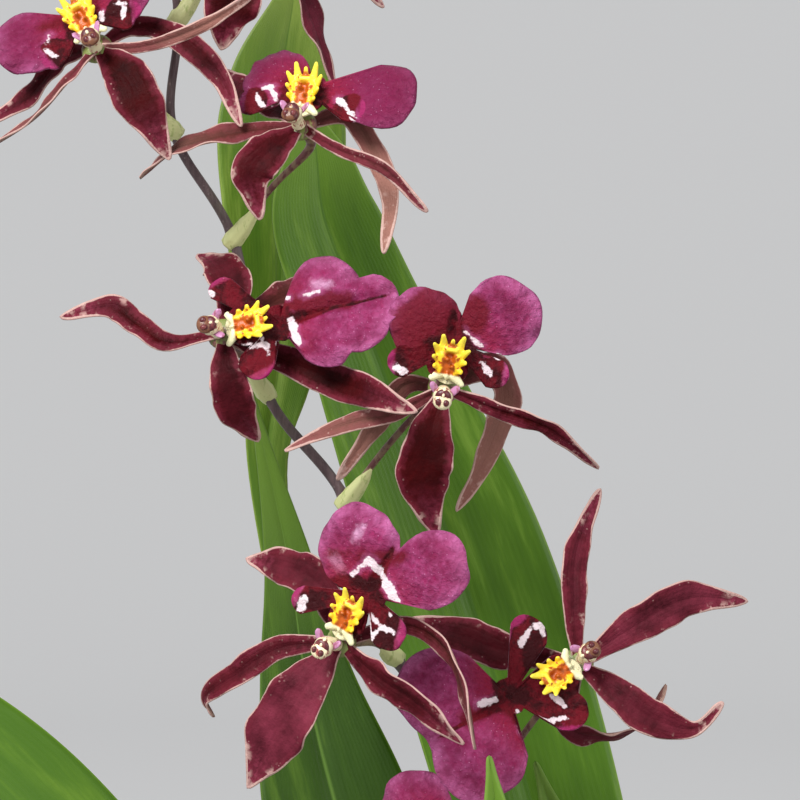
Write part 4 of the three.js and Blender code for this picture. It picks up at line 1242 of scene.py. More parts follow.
@dataclass(frozen=True)
class TepalFinish(Finish):
    """The velvety upper side of a sepal or petal, rosy towards its pale margin and tip."""

    name: str = "tepal_velvet"
    deep: Triple = (0.018, 0.0007, 0.0011)
    body: Triple = (0.070, 0.0022, 0.0036)
    rosy: Triple = (0.215, 0.031, 0.058)
    brown: Triple = (0.290, 0.135, 0.105)
    margin: Triple = (0.600, 0.400, 0.350)
    margin_width: float = 0.07
    roughness: float = 0.5

    def paint(self, shader: Shader) -> None:
        """Wires the material.

        Args:
            shader: the material's shader.
        """
        plan = shader.read_place("plan")
        along = shader.read("along")
        edge = shader.read("edge")
        tone = shader.read("tone")
        patches = shader.mottle(plan, scale=0.16, contrast=3.0)
        fine = shader.mottle(plan, scale=0.9, contrast=3.0)
        near = shader.span(shader.math("ADD", edge, fine), 2.6, 0.6)
        light = shader.math("MULTIPLY_ADD", patches, 0.6, shader.math("MULTIPLY", near, 0.55), clamp=True)
        colour = shader.mix(light, self.deep, self.body)
        tipwards = shader.span(along, 0.6, 1.0)
        own = shader.math("MULTIPLY", tone, shader.math("ADD", patches, 0.35), clamp=True)
        rosy = shader.math("MAXIMUM", own, shader.times(near, 0.42))
        rosy = shader.math("MAXIMUM", rosy, shader.times(tipwards, shader.math("ADD", fine, 0.15)))
        colour = shader.mix(rosy, colour, self.rosy)
        outer = shader.math("MULTIPLY_ADD", shader.span(along, 0.25, 0.75), 0.7, 0.3)
        brown = shader.times(shader.math("MULTIPLY", tone, -1.0, clamp=True), outer)
        colour = shader.mix(brown, colour, self.brown)
        lines = shader.veins(plan, shader.read("across"), count=4.0, thin=5.0, wobble=0.1)
        colour = shader.tint(colour, self.deep, lines, 0.05)
        blotch = shader.math("MULTIPLY_ADD", tipwards, 0.14, shader.noise(plan, 0.42, 3.0, 0.6))
        blotch = shader.times(shader.span(blotch, 0.62, 0.76), shader.span(edge, 1.7, 0.4))
        colour = shader.tint(colour, self.margin, blotch, 0.6)
        fleck = shader.times(shader.specks(plan, scale=1.6, amount=0.05), near)
        colour = shader.tint(colour, self.margin, fleck, 0.45)
        wide = shader.math("MULTIPLY_ADD", tipwards, 0.3, self.margin_width)
        rim = shader.band(plan, edge, width=wide, soft=0.16, grain=0.7, jitter=0.4)
        colour = shader.tint(colour, self.margin, rim, 0.75)
        relief = shader.relief(shader.noise(plan, 6.0, 2.0), 0.05)
        relief = shader.relief(shader.math("SUBTRACT", 1.0, lines), 0.025, relief)
        relief = shader.relief(shader.mottle(plan, scale=0.5, contrast=1.5), 0.3, relief)
        shader.surface(Base_Color=colour, Roughness=self.roughness, Specular_IOR_Level=0.06, Normal=relief)


@dataclass(frozen=True)
class TepalBackFinish(Finish):
    """The brownish pink back of a sepal or petal, with a darker midrib."""

    name: str = "tepal_back"
    body: Triple = (0.30, 0.125, 0.10)
    dark: Triple = (0.13, 0.03, 0.035)
    pale: Triple = (0.52, 0.33, 0.26)

    def paint(self, shader: Shader) -> None:
        """Wires the material.

        Args:
            shader: the material's shader.
        """
        plan = shader.read_place("plan")
        edge = shader.read("edge")
        across = shader.math("ABSOLUTE", shader.read("across"))
        patches = shader.mottle(plan, scale=0.45, contrast=2.6)
        colour = shader.mix(patches, self.dark, self.body)
        colour = shader.tint(colour, self.dark, shader.span(across, 0.3, 0.0), 0.55)
        rim = shader.band(plan, edge, width=0.25, soft=0.4, grain=1.0, jitter=0.5)
        colour = shader.tint(colour, self.pale, rim, 0.8)
        fleck = shader.specks(plan, scale=1.3, amount=0.2)
        colour = shader.tint(colour, self.pale, fleck, 0.45)
        lines = shader.veins(plan, shader.read("across"), count=6.0, thin=4.0, wobble=0.08)
        relief = shader.relief(shader.noise(plan, 6.0, 2.0), 0.06)
        relief = shader.relief(lines, 0.14, relief)
        shader.surface(Base_Color=colour, Roughness=0.55, Specular_IOR_Level=0.25, Normal=relief)


@dataclass(frozen=True)
class LipFinish(Finish):
    """The lip's face: magenta lobes, a dark velvet throat, white strokes, fine veins, painted glints, lilac
    partly painted highlight at the rims and crimson partly painted shade at the base.
    """

    name: str = "lip_face"
    magenta: Triple = (0.315, 0.020, 0.108)
    # lilac: the rims' own tint, partly painted highlight on the domed lobes, and the blush round the white
    # strokes
    lilac: Triple = (0.460, 0.120, 0.290)
    wine: Triple = (0.140, 0.0045, 0.036)
    # crimson: the base's own colour, partly painted shade at the foot of the domed lobes
    crimson: Triple = (0.260, 0.006, 0.024)
    throat: Triple = (0.125, 0.0028, 0.0095)
    shadow: Triple = (0.034, 0.0008, 0.0028)
    vein: Triple = (0.150, 0.006, 0.050)
    white: Triple = (0.820, 0.680, 0.720)
    # pale: the colour of the painted highlights and pale patches
    pale: Triple = (0.640, 0.330, 0.520)
    cream: Triple = (0.840, 0.780, 0.500)
    # Colour of the painted glints: specks that stand for sparkling highlights
    painted_glint_colour: Triple = (0.800, 0.420, 0.640)

    def paint(self, shader: Shader) -> None:
        """Wires the material.

        Args:
            shader: the material's shader.
        """
        plan = shader.read_place("plan")
        rim = shader.read("rim")
        patches = shader.mottle(plan, scale=0.2, contrast=3.2)
        fine = shader.mottle(plan, scale=0.9, contrast=3.0)
        lobe = shader.tint(self.wine, self.magenta, patches, 0.75)
        # Lilac towards the rim and in patches: partly the lobes' own colour, partly painted highlight on
        # their domes
        mottled = shader.math("MULTIPLY", fine, 0.35)
        outer = shader.math("MULTIPLY_ADD", shader.span(rim, 4.0, 0.2), 0.55, mottled)
        lobe = shader.tint(lobe, self.lilac, outer, shader.math("ADD", patches, 0.35))
        # Pale patches, which are painted highlights and pale patches of the lobes
        pale = shader.math("MULTIPLY_ADD", fine, 1.2, shader.read("pale"))
        pale = shader.times(shader.span(pale, 1.5, -0.2), 0.8)
        lobe = shader.mix(pale, lobe, self.pale)
        lobe = shader.mix(shader.read("mood"), lobe, self.wine)
        # Crimson towards the base: partly the lip's own colour, partly painted shade
        lobe = shader.tint(lobe, self.crimson, shader.read("glow"), 0.8)
        net = shader.net(plan, scale=0.62, width=0.10)
        rays = shader.veins(plan, shader.read("ray"), count=40.0, thin=5.0, wobble=0.012)
        veins = shader.math("MAXIMUM", shader.math("MULTIPLY", net, 0.5), shader.math("MULTIPLY", rays, 0.5))
        lobe = shader.tint(lobe, self.vein, veins, 0.45)
        # Painted glints: bright specks that stand for sparkling highlights on the lobes
        painted_glints = shader.specks(plan, scale=3.2, amount=0.06)
        lobe = shader.tint(lobe, self.painted_glint_colour, painted_glints, shader.times(patches, 0.6))
        broad = shader.sway(plan, 0.55, 3.0, 0.6)
        small = shader.sway(plan, 2.4, 3.0, 0.6)
        uneven = shader.math("MULTIPLY_ADD", broad, 0.7, shader.math("MULTIPLY", small, 0.25))
        shade = shader.math("MULTIPLY_ADD", broad, 2.6, shader.read("shade"))
        lobe = shader.tint(lobe, self.throat, shader.span(shade, 1.3, -0.5), 0.88)
        depth = shader.span(shader.math("ADD", shader.read("dark"), uneven), 0.3, 0.7)
        throat = shader.mix(shader.span(patches, 0.25, 0.75), self.shadow, self.throat)
        colour = shader.mix(depth, lobe, throat)
        tips = shader.span(shader.math("ADD", shader.read("tip"), uneven), 0.62, 0.85)
        colour = shader.tint(colour, self.magenta, tips, 0.85)
        streak = shader.math("MULTIPLY_ADD", small, 0.4, shader.read("streak"))
        streak = shader.math("MULTIPLY_ADD", broad, 2.2, streak)
        blush = shader.times(shader.span(streak, 1.1, 0.1), shader.math("SUBTRACT", 1.0, depth))
        colour = shader.tint(colour, self.lilac, blush, 0.35)
        colour = shader.tint(colour, self.white, shader.span(streak, 0.2, -0.12), 0.93)
        claw = shader.span(shader.math("ADD", shader.read("claw"), small), 0.3, -0.1)
        colour = shader.tint(colour, self.cream, claw, 0.95)
        relief = shader.relief(shader.noise(plan, 8.0, 2.0), 0.04)
        relief = shader.relief(shader.math("SUBTRACT", 1.0, veins), 0.09, relief)
        relief = shader.relief(fine, 0.3, relief)
        shader.surface(Base_Color=colour, Roughness=0.45, Specular_IOR_Level=0.14, Normal=relief)


@dataclass(frozen=True)
class LipBackFinish(Finish):
    """The paler, duller back of a lip."""

    name: str = "lip_back"
    body: Triple = (0.36, 0.10, 0.20)
    pale: Triple = (0.55, 0.33, 0.38)

    def paint(self, shader: Shader) -> None:
        """Wires the material.

        Args:
            shader: the material's shader.
        """
        plan = shader.read_place("plan")
        patches = shader.mottle(plan, scale=0.4, contrast=2.4)
        rays = shader.veins(plan, shader.read("ray"), count=30.0, thin=4.0, wobble=0.012)
        colour = shader.mix(patches, self.body, self.pale)
        colour = shader.tint(colour, (0.2, 0.03, 0.08), rays, 0.4)
        relief = shader.relief(shader.noise(plan, 8.0, 2.0), 0.06)
        shader.surface(Base_Color=colour, Roughness=0.5, Normal=shader.relief(rays, 0.15, relief))


@dataclass(frozen=True)
class CrestFinish(Finish):
    """The waxy yellow crest with its orange red heart, brown spots and cream saddle."""

    name: str = "crest_wax"
    yellow: Triple = (0.910, 0.560, 0.010)
    light: Triple = (0.980, 0.800, 0.070)
    rust: Triple = (0.420, 0.045, 0.003)
    cream: Triple = (0.820, 0.790, 0.480)

    def paint(self, shader: Shader) -> None:
        """Wires the material.

        Args:
            shader: the material's shader.
        """
        plan = shader.read_place("plan")
        across, lipwards, out = shader.split(plan)
        uneven = shader.sway(plan, 0.9, 3.0, 0.6)
        colour = shader.mix(shader.span(out, 2.6, 4.4), self.yellow, self.light)
        wide = shader.math("MULTIPLY_ADD", uneven, 1.8, shader.math("ABSOLUTE", across))
        heart = shader.times(shader.span(wide, 1.5, 1.05), shader.span(lipwards, 7.2, 6.4))
        plate = shader.times(shader.span(wide, 0.9, 0.5), shader.span(lipwards, 8.9, 8.3))
        plate = shader.times(plate, shader.span(lipwards, 7.5, 7.9))
        spots = shader.span(shader.noise(plan, 0.75, 2.0), 0.6, 0.68)
        spots = shader.times(spots, shader.span(out, 5.0, 4.2))
        low = shader.span(shader.math("MULTIPLY_ADD", uneven, 1.2, out), 2.7, 2.2)
        rust = shader.math("MAXIMUM", heart, plate)
        rust = shader.math("MAXIMUM", rust, shader.math("MAXIMUM", spots, low))
        colour = shader.tint(colour, self.rust, rust, 0.92)
        saddle = shader.span(shader.math("MULTIPLY_ADD", uneven, 0.7, lipwards), 2.9, 2.5)
        colour = shader.mix(saddle, colour, self.cream)
        relief = shader.relief(shader.noise(plan, 3.0, 3.0), 0.12)
        shader.surface(Base_Color=colour, Roughness=0.33, Specular_IOR_Level=0.4, Normal=relief)


@dataclass(frozen=True)
class WaxFinish(Finish):
    """A smooth waxy skin of one colour with streaks and freckles of a second."""

    name: str
    body: Triple
    marks: Triple
    amount: float = 0.5
    scale: float = 0.9
    roughness: float = 0.35
    stretch: Triple = (1000.0, 1000.0, 350.0)

    def paint(self, shader: Shader) -> None:
        """Wires the material.

        Args:
            shader: the material's shader.
        """
        place = shader.place(self.stretch)
        patches = shader.mottle(place, scale=self.scale, contrast=3.2)
        spread = shader.span(patches, 0.75 - 0.5 * self.amount, 0.95 - 0.5 * self.amount)
        colour = shader.mix(spread, self.body, self.marks)
        relief = shader.relief(shader.noise(shader.place(), 2.5, 3.0), 0.08)
        shader.surface(Base_Color=colour, Roughness=self.roughness, Normal=relief)


@dataclass(frozen=True)
class LeafFinish(Finish):
    """A satin leaf with fine lengthwise veins, a midrib, a thin pale edge and long soft bands of painted
    highlight and shade.
    """

    name: str
    body: Triple = (0.070, 0.170, 0.006)
    # shade: the painted shade; light: the painted highlight, also the pale fine veins and edge
    shade: Triple = (0.034, 0.098, 0.003)
    light: Triple = (0.165, 0.280, 0.040)
    tip: Triple = (0.150, 0.270, 0.025)
    midrib: Triple = (0.040, 0.115, 0.006)
    midrib_share: float = 0.55

    def paint(self, shader: Shader) -> None:
        """Wires the material.

        Args:
            shader: the material's shader.
        """
        plan = shader.read_place("plan")
        across = shader.read("across")
        # Long soft patches of painted shade and painted highlight, as if from the leaf's gentle waves
        stretched = shader.place((0.13, 0.016, 1.0), plan)
        patches = shader.mottle(stretched, scale=1.0, contrast=2.6)
        colour = shader.mix(patches, self.shade, self.body)
        colour = shader.tint(colour, self.light, shader.span(patches, 0.55, 0.95), 0.5)
        colour = shader.tint(colour, self.tip, shader.span(shader.read("along"), 0.7, 1.0), 0.7)
        veins = shader.veins(plan, across, count=17.0, thin=2.5, wobble=0.01)
        fine = shader.veins(plan, across, count=52.0, thin=1.5, wobble=0.01)
        colour = shader.tint(colour, self.shade, veins, 0.05)
        colour = shader.tint(colour, self.light, fine, 0.03)
        rib = shader.span(shader.math("ABSOLUTE", across), 0.05, 0.0)
        colour = shader.tint(colour, self.midrib, rib, self.midrib_share)
        rim = shader.band(plan, shader.read("edge"), width=0.12, soft=0.3, grain=0.4, jitter=0.2)
        colour = shader.tint(colour, self.light, rim, 0.6)
        relief = shader.relief(shader.noise(plan, 3.5, 3.0), 0.05)
        relief = shader.relief(veins, 0.02, relief)
        relief = shader.relief(fine, 0.008, relief)
        roughness = shader.math("MULTIPLY_ADD", patches, 0.12, 0.36)
        shader.surface(Base_Color=colour, Roughness=roughness, Specular_IOR_Level=0.3, Normal=relief)


@dataclass(frozen=True)
class StemFinish(Finish):
    """The spike's skin: dull purple brown with fine lengthwise lines and pale freckles."""

    name: str = "stem_skin"
    body: Triple = (0.130, 0.082, 0.084)
    dark: Triple = (0.045, 0.022, 0.026)
    green: Triple = (0.10, 0.12, 0.035)
    green_share: float = 0.25

    def paint(self, shader: Shader) -> None:
        """Wires the material.

        Args:
            shader: the material's shader.
        """
        place = shader.place((1000.0, 1000.0, 120.0))
        streaks = shader.mottle(place, scale=0.9, contrast=3.0)
        colour = shader.mix(streaks, self.dark, self.body)
        patches = shader.mottle(shader.place(), scale=0.06, contrast=3.0)
        colour = shader.tint(colour, self.green, shader.span(patches, 0.45, 0.9), self.green_share)
        freckles = shader.specks(shader.place(), scale=1.1, amount=0.12)
        colour = shader.tint(colour, (0.26, 0.20, 0.19), freckles, 0.35)
        relief = shader.relief(streaks, 0.12)
        shader.surface(Base_Color=colour, Roughness=0.42, Normal=relief)


@dataclass(frozen=True)
class PaperFinish(Finish):
    """Dry papery sheath: fibres, brown stains and ragged edges."""

    name: str = "dry_sheath"
    body: Triple = (0.36, 0.26, 0.15)
    dark: Triple = (0.13, 0.075, 0.04)
    pale: Triple = (0.55, 0.47, 0.33)

    def paint(self, shader: Shader) -> None:
        """Wires the material.

        Args:
            shader: the material's shader.
        """
        fibres = shader.mottle(shader.place((900.0, 900.0, 50.0)), scale=0.9, contrast=3.0)
        stains = shader.mottle(shader.place(), scale=0.08, contrast=3.0)
        colour = shader.mix(fibres, self.body, self.pale)
        colour = shader.tint(colour, self.dark, stains, 0.7)
        shader.surface(Base_Color=colour, Roughness=0.75, Normal=shader.relief(fibres, 0.25))


@dataclass(frozen=True)
class ClayFinish(Finish):
    """Unglazed clay: fine grit, turning rings and pale salt bloom."""

    name: str = "pot_clay"
    body: Triple = (0.485, 0.190, 0.100)
    dark: Triple = (0.30, 0.105, 0.055)
    pale: Triple = (0.66, 0.44, 0.33)
    salt: Triple = (0.74, 0.66, 0.58)

    def paint(self, shader: Shader) -> None:
        """Wires the material.

        Args:
            shader: the material's shader.
        """
        place = shader.place()
        patches = shader.mottle(place, scale=0.035, contrast=2.6)
        colour = shader.mix(patches, self.dark, self.body)
        grit = shader.noise(place, 1.6, 4.0, 0.7)
        colour = shader.tint(colour, self.pale, shader.span(grit, 0.52, 0.75), 0.5)
        pits = shader.specks(place, scale=0.55, amount=0.1)
        colour = shader.tint(colour, self.dark, pits, 0.6)
        streaks = shader.mottle(shader.place((90.0, 90.0, 25.0)), scale=1.0, contrast=3.2)
        height = shader.split(place)[2]
        level = shader.math("ADD", height, shader.math("MULTIPLY", streaks, 34.0))
        bloom = shader.times(shader.span(level, 74.0, 24.0), shader.span(streaks, 0.35, 0.85))
        colour = shader.tint(colour, self.salt, bloom, 0.5)
        rings = shader.math("SINE", shader.math("MULTIPLY", height, 2.6))
        soft_rings = shader.math("MULTIPLY_ADD", rings, 0.5, 0.5)
        relief = shader.relief(grit, 0.35)
        relief = shader.relief(soft_rings, 0.12, relief)
        shader.surface(Base_Color=colour, Roughness=0.82, Normal=relief)


@dataclass(frozen=True)
class BarkFinish(Finish):
    """Damp bark: layered brown with fibres, pale torn faces and dark pores."""

    name: str = "bark_damp"
    body: Triple = (0.150, 0.070, 0.036)
    dark: Triple = (0.036, 0.017, 0.010)
    pale: Triple = (0.34, 0.19, 0.10)

    def paint(self, shader: Shader) -> None:
        """Wires the material.

        Args:
            shader: the material's shader.
        """
        tone = shader.read("tone")
        layers = shader.mottle(shader.read_place("plan"), scale=1.0, contrast=3.0)
        colour = shader.mix(layers, self.dark, self.body)
        torn = shader.times(shader.span(tone, 0.45, 0.95), shader.span(layers, 0.35, 0.8))
        colour = shader.tint(colour, self.pale, torn, 0.75)
        grain = shader.noise(shader.place(), 1.8, 4.0, 0.7)
        colour = shader.tint(colour, self.dark, shader.span(grain, 0.5, 0.3), 0.6)
        relief = shader.relief(layers, 0.8)
        relief = shader.relief(grain, 0.4, relief)
        shader.surface(Base_Color=colour, Roughness=0.85, Normal=relief)


# The plant's parts

@dataclass
class Bloom:
    """One bloom: its five tepals, lip, crest and column."""

    number: int
    plan: BloomPlan
    bench: Bench
    finishes: dict[str, Material]
    crest_pattern: Object
    hub_radius: float = 3.0
    hub_half_depth: float = 1.2
    hub_centre: float = -1.5
    root_width: float = 2.0
    lip_level: float = 0.85
    lip_thickness: float = 0.5
    lip_neck: Triple = (0, 4.65, 3.8)
    lobe_crown: float = 2.2
    side_slimming: float = 0.2
    far_waist: float = 13.0
    far_slimming: float = 0.05
    rays: int = 132
    rings: int = 30

    def __post_init__(self) -> None:
        """Sets the bloom's own frame and slims its lip's side lobes."""
        self.setting = Setting.of(self.plan)
        self.waist = np.asarray(self.plan.waist)
        self.lobes = np.array(self.plan.lobes, float)
        slimming = self.side_slimming if self.waist[1] < self.far_waist else self.far_slimming
        for lobe in self.lobes[2:4]:
            lobe[:2] += unit(lobe[:2] - LIP_MIDDLE) * slimming * lobe[2]
            lobe[2] *= 1 - slimming

    def build(self) -> None:
        """Builds and mounts the bloom's four pieces."""
        makers = (
            ("tepals", Slot.TEPAL, self.make_tepals), ("lip", Slot.LIP, self.make_lip),
            ("crest", Slot.CREST, self.make_crest), ("column", Slot.COLUMN, self.make_column),
        )
        for part, slot, make in makers:
            mount(make(), f"{part}_{self.number}", slot, f"bloom_{self.number}_{part}")

    def make_tepals(self) -> Object:
        """Makes the dorsal sepal, two petals and two lateral sepals, joined at their hub.

        Returns:
            The tepals as one piece.
        """
        cut = Cut(
            keel=0.15, wave=0.15, ripples=4.2, midrib=0.25, tip_width=1.8, raggedness=0.035,
            fullness=FULLNESS.get(self.number, -0.13),
        )
        materials = (self.finishes["tepal"], self.finishes["tepal_back"])
        tones = TONES.get(self.number, (0, 0, 0, 0, 0))
        pieces = []
        for index, blade in enumerate(self.plan.tepals):
            rooted = Blade(((0, 0, self.hub_centre, self.root_width), *blade.stations), blade.roll)
            seed = self.number * 0.37 + index * 0.21
            pieces.append(self.bench.blade(rooted, UPWARDS, cut, materials, self.setting, seed, tones[index]))
        knots = [(0, 0, self.hub_centre + side * self.hub_half_depth) for side in (-1, 1)]
        pieces.append(self.bench.tube(
            knots, steady(self.hub_radius), self.finishes["ovary"], rows=10, columns=24, facing=LIPWARDS,
            ends=(0.5, 0.5), setting=self.setting,
        ))
        return join(pieces)

    def reach(self, direction: Numbers) -> Numbers:
        """How far the lip's rim stands from its waist.

        Args:
            direction: unit vectors [s, u], one a row.

        Returns:
            The distance along each.
        """
        blend = 8
        least = 3.5
        discs = np.vstack([self.lobes[:, :3], self.lip_neck])
        offset = discs[:, :2] - self.waist
        along = direction @ offset.T
        across = (offset**2).sum(axis=1) - along**2
        inside = np.clip(discs[:, 2] ** 2 - across, 0, None)
        far = np.where(across < discs[:, 2] ** 2, np.maximum(along + np.sqrt(inside), 0), 0)
        return ((far**blend).sum(axis=1) + least**blend) ** (1 / blend)

    def lift(self, direction: Numbers) -> Numbers:
        """How high the lip's rim stands.

        Args:
            direction: unit vectors [s, u], one a row.

        Returns:
            The height along each.
        """
        focus = 6
        rest = 0.2
        towards = unit(self.lobes[:, :2] - self.waist)
        nearness = np.maximum(direction @ towards.T, 0) ** focus
        return (nearness * self.lobes[:, 3]).sum(axis=1) / (rest + nearness.sum(axis=1))

    def make_lip(self) -> Object:
        """Makes the lip: a disc drawn out to its lobes, crowned, folded and ruffled at its rim.

        Returns:
            The lip.
        """
        piece = self.bench.disc(self.rays, self.rings)
        flat = points_of(piece)
        angle = np.arctan2(flat[:, 0], flat[:, 1])
        share = np.clip(np.hypot(flat[:, 0], flat[:, 1]), 0, 1) ** 0.85
        direction = np.stack([np.sin(angle), np.cos(angle)], axis=1)
        wander = 0.022 * np.sin(5 * angle + 1.7 * self.number) + 0.014 * np.sin(11 * angle + self.number)
        reach = self.reach(direction) * (1 + wander)
        spot = self.waist + direction * (reach * share)[:, None]
        height = self.lip_level + self.lift(direction) * share**2
        for s, u, radius, _ in self.plan.lobes[:2]:
            away = np.hypot(spot[:, 0] - s, spot[:, 1] - u) / radius
            height = height + self.lobe_crown * share * np.maximum(1 - away**2, 0)
        notch = unit(unit(self.lobes[:2, :2] - self.waist).sum(axis=0))
        onwards = (spot - self.waist) @ notch
        aside = np.abs((spot - self.waist) @ np.array([-notch[1], notch[0]]))
        height = height - bell(aside, 0, 1.1) * smooth_step(onwards, -1.0, 3.0)
        ruffle = np.sin(15 * angle + self.number) + 0.7 * np.sin(26 * angle + 2.1 * self.number)
        height = height + 0.38 * ruffle * share**7 * np.clip(reach / 9, 0, 1)
        set_points(piece, self.setting.place(np.column_stack([spot, height])))
        self.note_lip(piece, spot, angle, reach * (1 - share), onwards, aside)
        dress(piece, self.finishes["lip"], self.finishes["lip_back"])
        add_wall(piece, self.lip_thickness, material_offset=1)
        return piece

    def note_lip(
        self, piece: Object, spot: Numbers, angle: Numbers, rim: Numbers, onwards: Numbers, aside: Numbers
    ) -> None:
        """Keeps on the lip what its finish reads.

        Args:
            piece: the lip.
            spot: each point's place [s, u].
            angle: its direction from the waist.
            rim: how far it is from the rim.
            onwards: how far it lies past the waist towards the notch between the lobes.
            aside: how far it lies from the line to that notch.
        """
        from_middle = np.hypot(*(spot - LIP_MIDDLE).T)
        throat = np.hypot(*(self.waist - LIP_MIDDLE))
        dark = 1 - smooth_step(from_middle, throat, throat + 4.5)
        # A dark strip along the crease between the two lobes: painted shade
        width = np.clip(2.6 - 0.2 * onwards, 0.5, 2.6)
        painted_fold_shade = bell(aside, 0, width) * smooth_step(onwards, -1, 1) * smooth_step(rim, 0.0, 3.0)
        dark = np.maximum(dark, painted_fold_shade)
        tip = np.zeros(len(spot))
        for lobe in self.lobes[2:4]:
            centre, radius = lobe[:2], lobe[2]
            along = (spot - centre) @ unit(centre - LIP_MIDDLE) / radius
            close = 1 - smooth_step(np.hypot(*(spot - centre).T) / radius, 1.0, 1.4)
            tip = np.maximum(tip, close * along)
            dark = np.maximum(dark, close * (1 - smooth_step(along, 0.15, 0.95)))
        note(
            piece, rim=rim, ray=angle / FULL_TURN, dark=dark, tip=tip, mood=MOODS.get(self.number, 0.0),
            # crimson towards the base, partly painted shade
            glow=1 - smooth_step(from_middle, throat + 0.5, throat + 10.5),
            plan=np.column_stack([spot, np.full(len(spot), 7.0 * self.number)]),
            streak=self.nearness(spot, STROKES.get(self.number, COMMON_STROKES)),
            shade=self.nearness(spot, SHADES.get(self.number, ())),
            # painted highlights and pale patches
            pale=self.nearness(spot, PALE_PATCHES_AND_HIGHLIGHTS.get(self.number, ())),
            claw=np.maximum(np.hypot(spot[:, 0] / 1.9, spot[:, 1] - 0.6) - 1.7, spot[:, 1] - 2.6),
        )

    def nearness(self, spot: Numbers, strokes: Sequence[Stroke]) -> Numbers:
        """How far points lie outside the nearest of some strokes; less than 0 is inside.

        Args:
            spot: the points [s, u].
            strokes: the strokes.

        Returns:
            The distances, at most 9.
        """
        nearest = np.full(len(spot), 9.0)
        for stroke in strokes:
            for start, end in zip(stroke.points[:-1], stroke.points[1:]):
                away = self.away_from(spot, np.array(start, float), np.array(end, float))
                nearest = np.minimum(nearest, away - stroke.width / 2)
        return nearest

    @staticmethod
    def away_from(spot: Numbers, start: Numbers, end: Numbers) -> Numbers:
        """How far points lie from a straight stretch.

        Args:
            spot: the points [s, u].
            start: the stretch's start.
            end: its end.

        Returns:
            The distances.
        """
        run = end - start
        share = np.clip((spot - start) @ run / max(run @ run, 1e-9), 0, 1)
        return np.hypot(*(spot - start - share[:, None] * run).T)

    def make_crest(self) -> Object:
        """Makes a copy of the crest, set in this bloom.

        Returns:
            The crest.
        """
        piece = copy_of(self.crest_pattern)
        local = points_of(piece)
        note(piece, plan=local)
        set_points(piece, self.setting.place(local))
        dress(piece, self.finishes["crest"])
        smooth(piece)
        return piece

    def make_column(self) -> Object:
        """Makes the column: its waisted stalk, dark throat, anther cap with two cells, beak and pink wings.

        Returns:
            The column.
        """
        cream, dark, wing = (self.finishes[name] for name in ("column", "cap_cell", "wing"))
        cap = cream if self.number in CREAM_CAPS else self.finishes["cap_brown"]

        def stalk(share: Numbers, angle: Numbers) -> Numbers:
            """The stalk's waisted radius."""
            waisted = 1.45 * (1 - 0.25 * np.sin(np.pi * np.clip(share / 0.6, 0, 1)))
            return waisted + 0.45 * smooth_step(share, 0.6, 0.8)

        shapes = [
            ([(0, -0.7, 0), (0, -0.5, 3.25), (0, -1.9, 6.6)], stalk, cream, (0.06, 0.2), 1.0),
            ([(0, -1.0, 5.4), (0, -1.5, 7.0)], steady(1.5), dark, (0.5, 0.5), 1.0),
            ([(0, -2.2, 5.2), (0, -2.0, 7.3)], steady(1.55), cap, (0.5, 0.5), 1.12),
            ([(0, -1.4, 7.0), (0, 0.7, 6.3)], steady(0.36), cream, (0.3, 0.3), 1.0),
        ]
        for side in (-1, 1):
            knots = [(0.72 * side, -2.9, 6.75), (0.68 * side, -1.6, 7.15)]
            shapes.append((knots, steady(0.58), dark, (0.5, 0.5), 1.0))
        for side in (-1, 1):
            shapes.append(([(side, -0.9, 4.4), (2.7 * side, 1.1, 5.6)], steady(0.72), wing, (0.4, 0.4), 0.4))
        return join([
            self.bench.tube(knots, radius, finish, 16, 20, LIPWARDS, breadth, ends, self.setting)
            for knots, radius, finish, ends, breadth in shapes
        ])


@dataclass(frozen=True)
class Tooth:
    """One flat tooth or ridge of the crest: its foot and tip, both radii and how much broader it is."""

    foot: Triple
    tip: Triple
    thick: float
    thin: float
    breadth: float = 1.5


